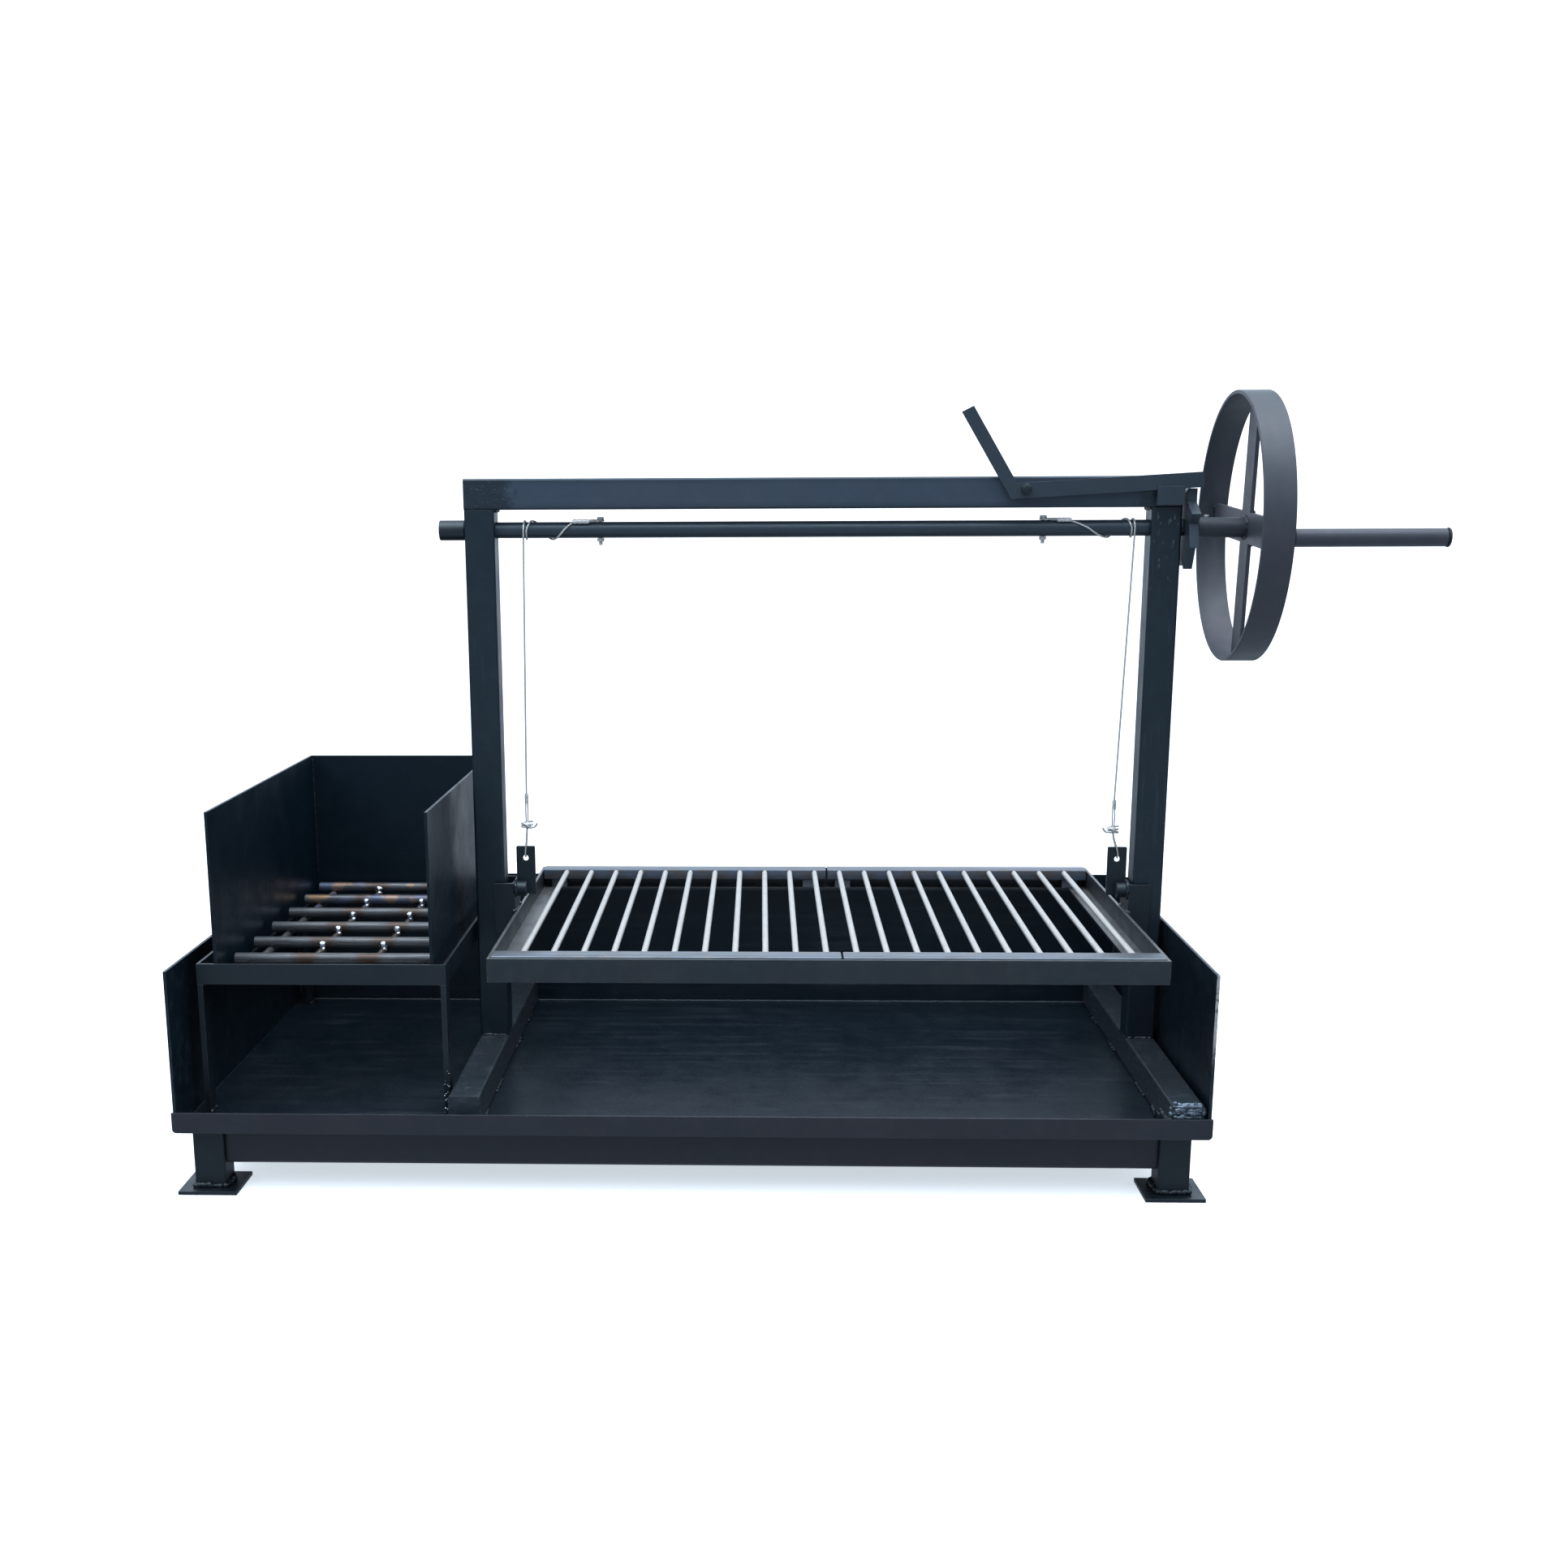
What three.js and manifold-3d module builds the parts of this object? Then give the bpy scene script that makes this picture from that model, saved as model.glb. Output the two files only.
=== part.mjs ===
import * as THREE from 'three';
import { mergeVertices } from 'three/addons/utils/BufferGeometryUtils.js';
import Module from 'manifold-3d';

const wasm = await Module();
wasm.setup();

// All lengths in mm. x runs along the tray, y to the back, z up; the floor is z = 0.
const MIRROR = [['left', -1], ['right', 1]];
const DEPTHS = [['front', -1], ['rear', 1]];
const deg = THREE.MathUtils.degToRad;

// The whole part is moved so that its bounding box stands centred over the origin.
const CENTRE_X = 33.2;

// Square tube stock.
const TUBE = 50.8;
const TUBE_WALL = 3.2;
const TUBE_CORNER = 4;
const HALF = TUBE / 2;

// Feet, legs and the rails under the tray.
const FOOT = { side: 95, thick: 6 };
const LEG = { height: 101.6, left: -990.9, right: 562.5, y: 350 };
const RAIL = { height: 63.5, setback: 10 };

// Tray.
const SHEET = 4.8;
const TRAY = { x0: -1036.4, x1: 610, y: 400, z0: FOOT.thick + LEG.height, z1: 373, bend: 7 };
const LIP = { x0: -1038.4, x1: 612, z1: 141 };
const FLOOR_TOP = TRAY.z0 + SHEET;

// Lift frame: two arms on the tray floor, two posts, one beam.
const ARM_TOP = FLOOR_TOP + TUBE;
const ARM = { leftFront: -376, rightFront: -397, back: 398, cap: 4 };
const POST = { x: 572.75, height: 914.4 };
const POST_TOP = ARM_TOP + POST.height;
const BEAM_HALF = POST.x + HALF;

// Winding shaft and everything welded or bolted to it.
const SHAFT = { r: 13.35, z: 1044.2, x0: -643, x1: 706, hole: 14, sides: 32 };
const PIPE = { outer: 16.7, inner: 13.65 };
const COLLAR = { x0: -643, x1: -600 };
const HUB = { x0: 628, x1: 707.8 };
const RATCHET = { x0: 604, x1: 619, tip: 71, root: 52, teeth: 8, tipAt: 26.9, steep: 11.2 };
const SCREW = { x: 643, r: 4, hole: 4.3, z0: 13.5, z1: 20.5 };
const WHEEL = { r: 220.3, band: 6, width: 50.8, x: 705, turn: 4.2, sides: 72 };
const SPOKE = { width: 50.8, thick: 6.35, x0: 708, gap: 0.3 };
const HANDLE = { radius: 204.5, rod: 9.5, bore: 10.2, grip: 14, x0: 731.2, x1: 967.6, end: 968.2 };
const HANDLE_CAP = { r: 15, thick: 4 };
const ANCHOR = { left: -370.5, right: 372.5, shank: 3, hole: 3.3, hex: 6, low: 1019, high: 1065.5 };

// Lift cables.
const CABLE = { r: 1.6, wind: 15.2, sides: 8 };
const FERRULE = { r: 4, ride: 17.8, at: 40 };
const DROP = { left: -499.8, right: 522.9 };
const COIL = {
  left: { end: -417, path: [-499.8, -494.6, -486, -470, -452, -431], ferrule: [-417, -388] },
  right: { end: 418, path: [522.9, 517.5, 510, 496, 480, 446], ferrule: [418, 394] },
};
const COIL_TURNS = [0, 360, 450, 540, 630, 720];
const COIL_END_TURN = 770;

// Pawl: a flat bar on a pivot bolt, held just above the ratchet tips.
const PAWL = { x: 337.3, z: 1107.4, y0: -38.4, y1: -32.4, hole: 5.2, lift: 3.2 };
const PAWL_BAR = { z0: 1092.8, z1: 1117.9, x1: 628 };
const PAWL_BOLT = { shank: 4.8, head: 9, headThick: 6.5, spacer: 8, end: -18 };
const KEEPER = { x0: 552, x1: 597, z0: 1081, shelf: 1092.5, z1: 1111, y0: -42, lip: 2.8, backTop: 1104 };

// Grate carriage. It stands a little to the right because its shoes have play on the posts.
const PLAY = 5;
const GRATE = { halfX: 533.4, halfY: 381, z0: 353, leg: 38.1, thick: 4.8, mitre: 0.1 };
const SHOE = { web: 4.8, reach: 36, halfY: 35.5, z1: 441.5 };
const HANGER = { x: 516.3, width: 33, y0: -8, y1: -3, z0: 418, z1: 503, hole: 5, holeZ: 482 };
const BOSS = { r: 13.3, y: -20.9, z: 430, end: 514 };
const KNOT = { left: [-507.5, 540.8, 596], right: [512, 533.5, 586], r: 7, whip: 3.6 };

// Grill panels that lie in the grate frame.
const PANEL = { x0: -527.6, split: 25, x1: 527.6, gap: 3, halfY: 375.2, z0: 374.2, z1: 394.2, rail: 38 };
const ROD = { r: 5, z: 388.4, first: -482, pitch: 48.3, left: 11, right: 10 };
const PANEL_FOOT = { length: 30, width: 24 };

// Firebox.
const BOX = { x0: -1010, x1: -605, y0: -317, y1: 390, z0: 331, z1: 365, t: 4.5, ledge: 34 };
const WALL = { x0: -982, x1: -626, y0: -312, y1: 385, t: 4.5, z1: 612 };
const BOX_LEG = { width: 9, depth: 31 };
const BARS = { r: 9.5, x0: -968, x1: -640, y0: -238, pitch: 117.5, count: 6, sink: 2.5 };
const CROSS = { r: 6.5, xs: [-940, -850, -744, -655] };

const paint = (color, roughness = 0.55, metalness = 0.35) => ({ color, roughness, metalness });
const SLATE = paint(0x2b3440);
const DARK = paint(0x161b22, 0.6);
const BROWN = paint(0x3b3a3c, 0.5);
const BRIGHT = paint(0xb9bdc2, 0.3, 0.95);
const BRUSHED = paint(0x8792a0, 0.35, 0.9);
const SATIN = paint(0x5c6672, 0.4, 0.7);
const RAW = paint(0x5b5a58, 0.45, 0.85);
const ZINC = paint(0xa9adb0, 0.35, 0.9);

function add(parent, name, look, geometry, x = 0, y = 0, z = 0) {
  const mesh = new THREE.Mesh(geometry, new THREE.MeshStandardMaterial(look));
  mesh.name = name;
  mesh.position.set(x, y, z);
  parent.add(mesh);
  return mesh;
}

// Booleans.
function solid(geometry) {
  const bare = geometry.clone();
  bare.deleteAttribute('normal');
  bare.deleteAttribute('uv');
  const welded = mergeVertices(bare, 1e-4);
  const vertProperties = new Float32Array(welded.attributes.position.array);
  const triVerts = new Uint32Array(welded.index.array);
  return new wasm.Manifold(new wasm.Mesh({ numProp: 3, vertProperties, triVerts }));
}

function surface(body) {
  const mesh = body.getMesh();
  const geometry = new THREE.BufferGeometry();
  geometry.setAttribute('position', new THREE.BufferAttribute(new Float32Array(mesh.vertProperties), 3));
  geometry.setIndex(new THREE.BufferAttribute(new Uint32Array(mesh.triVerts), 1));
  geometry.computeVertexNormals();
  return geometry;
}

const cut = (base, ...tools) => surface(tools.reduce((body, tool) => body.subtract(solid(tool)), solid(base)));
const fuse = (...parts) => surface(parts.map(solid).reduce((body, part) => body.add(part)));
const common = (a, b) => surface(solid(a).intersect(solid(b)));

// A box given by its limits.
function block(x0, x1, y0, y1, z0, z1) {
  const geometry = new THREE.BoxGeometry(x1 - x0, y1 - y0, z1 - z0);
  return geometry.translate((x0 + x1) / 2, (y0 + y1) / 2, (z0 + z1) / 2);
}

// Profiles: x prisms take (y, z) points, y prisms (x, z) points, z prisms (x, y) points.
const EX = new THREE.Vector3(1, 0, 0);
const EY = new THREE.Vector3(0, 1, 0);
const EZ = new THREE.Vector3(0, 0, 1);
const BASIS = {
  x: new THREE.Matrix4().makeBasis(EY, EZ, EX),
  y: new THREE.Matrix4().makeBasis(EX, EZ, EY.clone().negate()),
  z: new THREE.Matrix4(),
};

function prism(shape, length, axis, curveSegments = 4) {
  const geometry = new THREE.ExtrudeGeometry(shape, { depth: length, bevelEnabled: false, curveSegments });
  return geometry.translate(0, 0, -length / 2).applyMatrix4(BASIS[axis]);
}

const polygon = (points) => new THREE.Shape(points.map(([u, v]) => new THREE.Vector2(u, v)));

function circle(r, sides, u = 0, v = 0) {
  return Array.from({ length: sides }, (_, i) => {
    const a = (2 * Math.PI * i) / sides;
    return [u + r * Math.cos(a), v + r * Math.sin(a)];
  });
}

function pierce(shape, points) {
  shape.holes.push(new THREE.Path(points.map(([u, v]) => new THREE.Vector2(u, v))));
  return shape;
}

const bar = (r, length, axis, sides) => prism(polygon(circle(r, sides)), length, axis);
const pipe = (outer, inner, length, axis, sides) =>
  prism(pierce(polygon(circle(outer, sides)), circle(inner, sides)), length, axis);

function roundedSquare(half, corner) {
  const shape = new THREE.Shape();
  const c = half - corner;
  shape.absarc(c, c, corner, 0, Math.PI / 2);
  shape.absarc(-c, c, corner, Math.PI / 2, Math.PI);
  shape.absarc(-c, -c, corner, Math.PI, 1.5 * Math.PI);
  shape.absarc(c, -c, corner, 1.5 * Math.PI, 2 * Math.PI);
  shape.closePath();
  return shape;
}

function squareTube(length, axis) {
  const shape = roundedSquare(HALF, TUBE_CORNER);
  const inner = HALF - TUBE_WALL;
  pierce(shape, [[-inner, -inner], [-inner, inner], [inner, inner], [inner, -inner]]);
  return prism(shape, length, axis, 3);
}

// The rails' tube is taller than it is wide.
function railTube(length, axis) {
  return squareTube(length, axis).scale(1, 1, RAIL.height / TUBE);
}

// A cord or wire along a smooth path.
function cord(points, r, sides, steps) {
  const extrudePath = new THREE.CatmullRomCurve3(points.map((p) => new THREE.Vector3(...p)));
  return new THREE.ExtrudeGeometry(polygon(circle(r, sides)), { steps, bevelEnabled: false, extrudePath });
}

// An angle section with mitred ends: x along it, y inward from its outer face, z up.
function mitredAngle(length) {
  const { leg, thick, mitre } = GRATE;
  const profile = [[0, 0], [leg, 0], [leg, thick], [thick, thick], [thick, leg], [0, leg]];
  const end = (side) => profile.map(([u, v]) => [side * (length / 2 - mitre - u), u, v]);
  const points = [...end(-1), ...end(1)];
  const n = profile.length;
  const faces = [];
  for (let i = 0; i < n; i += 1) {
    const j = (i + 1) % n;
    faces.push([i, n + i, n + j], [i, n + j, j]);
  }
  const flat = profile.map(([u, v]) => new THREE.Vector2(u, v));
  for (const [a, b, c] of THREE.ShapeUtils.triangulateShape(flat, [])) {
    faces.push([a, b, c], [n + c, n + b, n + a]);
  }
  const geometry = new THREE.BufferGeometry();
  geometry.setAttribute('position', new THREE.Float32BufferAttribute(points.flat(), 3));
  const volume = faces.reduce((sum, face) => {
    const [a, b, c] = face.map((k) => new THREE.Vector3(...points[k]));
    return sum + a.dot(b.cross(c));
  }, 0);
  geometry.setIndex((volume > 0 ? faces : faces.map(([a, b, c]) => [a, c, b])).flat());
  geometry.computeVertexNormals();
  return geometry;
}

// Tray.
function trayProfile() {
  const { x0, x1, z0, z1, bend } = TRAY;
  const inner = bend - SHEET;
  const shape = new THREE.Shape();
  shape.moveTo(x0, z1);
  shape.lineTo(x0, z0 + bend);
  shape.absarc(x0 + bend, z0 + bend, bend, Math.PI, 1.5 * Math.PI);
  shape.absarc(x1 - bend, z0 + bend, bend, 1.5 * Math.PI, 2 * Math.PI);
  shape.lineTo(x1, z1);
  shape.lineTo(x1 - SHEET, z1);
  shape.absarc(x1 - bend, z0 + bend, inner, 2 * Math.PI, 1.5 * Math.PI, true);
  shape.absarc(x0 + bend, z0 + bend, inner, 1.5 * Math.PI, Math.PI, true);
  shape.lineTo(x0 + SHEET, z1);
  shape.closePath();
  return shape;
}

function endPlate({ x0, x1, z1 }) {
  const { z0, bend } = TRAY;
  const shape = new THREE.Shape();
  shape.moveTo(x0, z1);
  shape.lineTo(x0, z0 + bend);
  shape.absarc(x0 + bend, z0 + bend, bend, Math.PI, 1.5 * Math.PI);
  shape.absarc(x1 - bend, z0 + bend, bend, 1.5 * Math.PI, 2 * Math.PI);
  shape.lineTo(x1, z1);
  shape.closePath();
  return prism(shape, SHEET, 'y', 3);
}

function buildTray(parent) {
  add(parent, 'tray_shell', DARK, prism(trayProfile(), 2 * TRAY.y, 'y', 3));
  add(parent, 'tray_back_wall', DARK, endPlate(TRAY), 0, TRAY.y + SHEET / 2);
  add(parent, 'tray_front_lip', SLATE, endPlate(LIP), 0, -TRAY.y - SHEET / 2);
}

function buildStand(parent) {
  const railY = LEG.y - RAIL.setback;
  const railZ = TRAY.z0 - RAIL.height / 2;
  for (const [side] of MIRROR) {
    for (const [depth, sign] of DEPTHS) {
      const x = LEG[side];
      const y = sign * LEG.y;
      const plate = new THREE.BoxGeometry(FOOT.side, FOOT.side, FOOT.thick);
      add(parent, `foot_plate_${depth}_${side}`, SLATE, plate, x, y, FOOT.thick / 2);
      const z = FOOT.thick + LEG.height / 2;
      add(parent, `leg_${depth}_${side}`, SLATE, squareTube(LEG.height, 'z'), x, y, z);
    }
    const length = 2 * (LEG.y - HALF);
    add(parent, `under_rail_${side}`, SLATE, railTube(length, 'y'), LEG[side], 0, railZ);
  }
  const span = LEG.right - LEG.left - TUBE;
  const mid = (LEG.left + LEG.right) / 2;
  for (const [depth, sign] of DEPTHS) {
    add(parent, `under_rail_${depth}`, SLATE, railTube(span, 'x'), mid, sign * railY, railZ);
  }
}

// Lift frame.
function armTube(front) {
  const length = ARM.back - front;
  const outer = prism(roundedSquare(HALF, TUBE_CORNER), length, 'y', 3);
  const inner = HALF - TUBE_WALL;
  const hollow = block(-inner, inner, ARM.cap - length / 2, length / 2 + 1, -inner, inner);
  return cut(outer, hollow);
}

function buildFrame(parent) {
  for (const [side, sign] of MIRROR) {
    const front = ARM[`${side}Front`];
    const x = sign * POST.x;
    add(parent, `arm_${side}`, SLATE, armTube(front), x, (front + ARM.back) / 2, FLOOR_TOP + HALF);
    const middle = ARM_TOP + POST.height / 2;
    const hole = bar(SHAFT.hole, TUBE + 2, 'x', SHAFT.sides).translate(0, 0, SHAFT.z - middle);
    add(parent, `post_${side}`, SLATE, cut(squareTube(POST.height, 'z'), hole), x, 0, middle);
  }
  const middle = POST_TOP + HALF;
  const hole = bar(PAWL.hole, TUBE, 'y', 16).translate(PAWL.x, -HALF, PAWL.z - middle);
  add(parent, 'top_beam', SLATE, cut(squareTube(2 * BEAM_HALF, 'x'), hole), 0, 0, middle);
}

// Channel that catches the bar: back, shelf and a low front lip.
function buildKeeper(parent) {
  const { x0, x1, z0, shelf, z1, y0, lip, backTop } = KEEPER;
  const back = PAWL.y1 + 0.6;
  const profile = polygon([
    [-HALF, z0], [-HALF, backTop], [back, backTop], [back, shelf],
    [y0 + lip, shelf], [y0 + lip, z1], [y0, z1], [y0, z0],
  ]);
  add(parent, 'pawl_keeper', SLATE, prism(profile, x1 - x0, 'x'), (x0 + x1) / 2);
}

function buildPawlBolt(parent) {
  const { shank, head, headThick, spacer, end } = PAWL_BOLT;
  const headBack = PAWL.y0 - 0.3;
  const spacerFront = PAWL.y1 + 0.3;
  const piece = (r, y0, y1, sides) => bar(r, y1 - y0, 'y', sides).translate(0, (y0 + y1) / 2, 0);
  const bolt = fuse(
    piece(head, headBack - headThick, headBack, 6),
    piece(shank, headBack - 1, end, 16),
    piece(spacer, spacerFront, -HALF, 16),
  );
  add(parent, 'pawl_pivot_bolt', ZINC, bolt, PAWL.x, 0, PAWL.z);
}

function buildPawl(parent) {
  const { z0, z1, x1 } = PAWL_BAR;
  const outline = [
    [313, z0], [x1, z0], [x1, z1], [322.5, z1], [254.9, 1245.1], [235.4, 1236.8], [310.9, z0 + 2],
  ].map(([x, z]) => [x - PAWL.x, z - PAWL.z]);
  const shape = pierce(polygon(outline), circle(PAWL.hole, 16));
  const y = (PAWL.y0 + PAWL.y1) / 2;
  const lever = add(parent, 'pawl_lever', SLATE, prism(shape, PAWL.y1 - PAWL.y0, 'y'), PAWL.x, y, PAWL.z);
  lever.rotation.y = -deg(PAWL.lift);
}

// Crank: everything here is placed from the shaft centre line.
function ratchetProfile() {
  const { teeth, tip, root, tipAt, steep } = RATCHET;
  const points = [];
  for (let k = 0; k < teeth; k += 1) {
    const at = tipAt + (360 / teeth) * k;
    for (const [r, a] of [[tip, deg(at)], [root, deg(at + steep)]]) {
      points.push([-r * Math.sin(a), r * Math.cos(a)]);
    }
  }
  return pierce(polygon(points), circle(PIPE.inner, SHAFT.sides));
}

function buildShaft(parent) {
  const length = SHAFT.x1 - SHAFT.x0;
  const holes = ['left', 'right'].map((side) => bar(ANCHOR.hole, 40, 'z', 12).translate(ANCHOR[side], 0, 0));
  const rod = bar(SHAFT.r, length, 'x', SHAFT.sides).translate((SHAFT.x0 + SHAFT.x1) / 2, 0, 0);
  add(parent, 'lift_shaft', DARK, cut(rod, ...holes));
  const sleeve = (x0, x1) => pipe(PIPE.outer, PIPE.inner, x1 - x0, 'x', SHAFT.sides);
  add(parent, 'shaft_end_collar', DARK, sleeve(COLLAR.x0, COLLAR.x1), (COLLAR.x0 + COLLAR.x1) / 2);
  const { x0, x1 } = RATCHET;
  add(parent, 'ratchet_wheel', DARK, prism(ratchetProfile(), x1 - x0, 'x'), (x0 + x1) / 2);
  const hubMid = (HUB.x0 + HUB.x1) / 2;
  const tapped = bar(SCREW.hole, 20, 'z', 16).translate(SCREW.x - hubMid, 0, SCREW.z1);
  add(parent, 'wheel_hub', BROWN, cut(sleeve(HUB.x0, HUB.x1), tapped), hubMid);
  const height = SCREW.z1 - SCREW.z0;
  add(parent, 'hub_set_screw', ZINC, bar(SCREW.r, height, 'z', 12), SCREW.x, 0, SCREW.z0 + height / 2);
}

function buildWheel(parent) {
  const { r, band, width, x, turn, sides } = WHEEL;
  const wheel = new THREE.Group();
  wheel.rotation.x = deg(turn);
  parent.add(wheel);
  add(wheel, 'wheel_rim', BROWN, pipe(r, r - band, width, 'x', sides), x);
  const reach = r - band - SPOKE.gap;
  const half = SPOKE.width / 2;
  const t = SPOKE.thick;
  const cross = fuse(block(-t / 2, t / 2, -r, r, -half, half), block(-t / 2, t / 2, -half, half, -r, r));
  add(wheel, 'wheel_spokes', BROWN, common(cross, bar(reach, t, 'x', sides)), SPOKE.x0 + t / 2);
  const { radius, rod, bore, grip, x0, x1, end } = HANDLE;
  const rodStart = SPOKE.x0 + t + SPOKE.gap;
  add(wheel, 'handle_rod', BROWN, bar(rod, end - rodStart, 'x', 20), (rodStart + end) / 2, -radius);
  add(wheel, 'handle_grip', BROWN, pipe(grip, bore, x1 - x0, 'x', 24), (x0 + x1) / 2, -radius);
  const { r: capR, thick } = HANDLE_CAP;
  add(wheel, 'handle_end_cap', DARK, bar(capR, thick, 'x', 24), end + thick / 2, -radius);
}

function anchorBolt() {
  const { shank, hex, low, high } = ANCHOR;
  const piece = (r, z0, z1, sides) => bar(r, z1 - z0, 'z', sides).translate(0, 0, (z0 + z1) / 2 - SHAFT.z);
  const underHead = SHAFT.z + SHAFT.r + 3 * CABLE.r;
  const nutTop = SHAFT.z - SHAFT.r - 0.3;
  return fuse(
    piece(shank, low, high - 1, 12),
    piece(hex, underHead, high, 6),
    piece(hex, nutTop - 5, nutTop, 6),
  );
}

// The wound end of a cable: turns round the shaft, ferrule, and an eye round the anchor bolt.
function coil(side, sign) {
  const { path, end, ferrule } = COIL[side];
  const at = (x, turn, ride) => [x, -ride * Math.cos(deg(turn)), ride * Math.sin(deg(turn))];
  const keys = [...COIL_TURNS.map((turn, i) => [turn, path[i]]), [COIL_END_TURN, end]];
  const points = [];
  for (let turn = 0; turn <= COIL_END_TURN; turn += COIL_END_TURN / 33) {
    const k = Math.min(keys.findIndex(([t]) => t >= turn - 1e-6), keys.length - 1);
    const [t1, x1] = keys[Math.max(k, 1)];
    const [t0, x0] = keys[Math.max(k, 1) - 1];
    points.push(at(x0 + ((x1 - x0) * (turn - t0)) / (t1 - t0), turn, CABLE.wind));
  }
  const [f0, f1] = ferrule;
  const [, fy, fz] = at(0, 90 - FERRULE.at, FERRULE.ride);
  points.push([f0 - sign * 6, fy, fz]);
  const wound = cord(points, CABLE.r, CABLE.sides, 84);
  const sleeve = bar(FERRULE.r, Math.abs(f1 - f0), 'x', 12).translate((f0 + f1) / 2, fy, fz);
  const bolt = ANCHOR[side];
  const top = SHAFT.r + CABLE.r + 0.3;
  const wide = ANCHOR.shank + CABLE.r + 0.8;
  const eye = cord([
    [f1 + sign * 5, fy, fz], [f1 - sign * 3, fy + 0.6, fz + 0.8], [bolt + sign * 7, -7.2, top - 0.3],
    [bolt, -wide, top], [bolt - sign * wide, 0, top], [bolt, wide, top],
    [bolt + sign * 6.5, 3, top + 0.4], [f1 - sign * 3, -6.6, top + 0.5], [f1 + sign * 5, fy + 1.2, fz + 1.2],
  ], CABLE.r, CABLE.sides, 36);
  return fuse(wound, sleeve, eye);
}

function buildCrank(parent) {
  const crank = new THREE.Group();
  crank.position.z = SHAFT.z;
  parent.add(crank);
  buildShaft(crank);
  buildWheel(crank);
  for (const [side, sign] of MIRROR) {
    add(crank, `cable_anchor_bolt_${side}`, ZINC, anchorBolt(), ANCHOR[side]);
    add(crank, `cable_coil_${side}`, BRIGHT, coil(side, sign));
  }
}

// Hanging strand from the front of the shaft to the top of the knot.
function strand(side) {
  const [x, , top] = KNOT[side];
  const dx = x - DROP[side];
  const dy = CABLE.wind + (HANGER.y0 + HANGER.y1) / 2;
  const points = [0, 0.5, 1].map((t) => [dx * t, dy * t, -t * (SHAFT.z - top - 1)]);
  return cord(points, CABLE.r, CABLE.sides, 12);
}

function buildCables(parent) {
  for (const [side] of MIRROR) {
    add(parent, `lift_cable_${side}`, BRIGHT, strand(side), DROP[side], -CABLE.wind, SHAFT.z - 0.3);
  }
}

// Knot, whipping, tail and the loop through the hanger hole, from the hole centre.
function knot(side, sign) {
  const [x, z, top] = KNOT[side];
  const { y0, y1, holeZ, hole } = HANGER;
  const mid = (y0 + y1) / 2;
  const xc = x - (sign * HANGER.x + PLAY);
  const dz = z - holeZ;
  const out = (y1 - y0) / 2 + CABLE.r + 2;
  const seat = hole - CABLE.r - 1.2;
  const loop = cord([
    [xc, 0, dz], [xc * 0.8, -0.8 * out, dz - 14], [xc * 0.3, -out, 22], [0, -out, 10], [0, -out, 5],
    [0, -0.5 * out, seat], [0, 0.5 * out, seat],
    [0, out, 5], [0, out, 10], [xc * 0.3, out, 22], [xc * 0.8, 0.8 * out, dz - 14], [xc, 0.01, dz],
  ], CABLE.r, CABLE.sides, 40);
  const ball = new THREE.SphereGeometry(KNOT.r, 12, 8).translate(xc, 0, dz);
  const twin = bar(2.4, top - z, 'z', 8).translate(xc, 0, dz + (top - z) / 2);
  const whip = bar(KNOT.whip, 17, 'z', 10).translate(xc, 0, top - holeZ - 9);
  const tail = bar(CABLE.r, 17, 'x', 8).translate(xc - sign * 9, -2, dz);
  return fuse(loop, ball, twin, whip, tail);
}

// Carriage: placed from the middle of the grate frame.
function buildGrateFrame(parent) {
  const { halfX, halfY, z0 } = GRATE;
  add(parent, 'grate_angle_front', SATIN, mitredAngle(2 * halfX), 0, -halfY, z0);
  add(parent, 'grate_angle_rear', SATIN, mitredAngle(2 * halfX), 0, halfY, z0).rotation.z = Math.PI;
  add(parent, 'grate_angle_left', SATIN, mitredAngle(2 * halfY), -halfX, 0, z0).rotation.z = -Math.PI / 2;
  add(parent, 'grate_angle_right', SATIN, mitredAngle(2 * halfY), halfX, 0, z0).rotation.z = Math.PI / 2;
}

function shoe(sign) {
  const { web, reach, halfY } = SHOE;
  const outline = [
    [0, -halfY], [reach, -halfY], [reach, web - halfY], [web, web - halfY],
    [web, halfY - web], [reach, halfY - web], [reach, halfY], [0, halfY],
  ].map(([x, y]) => [sign * x, sign * y]);
  return prism(polygon(outline), SHOE.z1 - GRATE.z0, 'z');
}

function hanger(sign) {
  const { width, y0, y1, z0, z1, hole, holeZ } = HANGER;
  const w = width / 2;
  const low = z0 - holeZ;
  const high = z1 - holeZ;
  const outline = polygon([[-w, low], [w, low], [w, high - 5], [w - 5, high], [5 - w, high], [-w, high - 5]]);
  const mid = (y0 + y1) / 2;
  const plate = prism(pierce(outline, circle(hole, 16)), y1 - y0, 'y');
  const inner = BOSS.end - HANGER.x;
  const outer = GRATE.halfX - HANGER.x;
  const boss = bar(BOSS.r, outer - inner, 'x', 20).translate((sign * (inner + outer)) / 2, BOSS.y - mid, BOSS.z - holeZ);
  return fuse(plate, boss);
}

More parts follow.
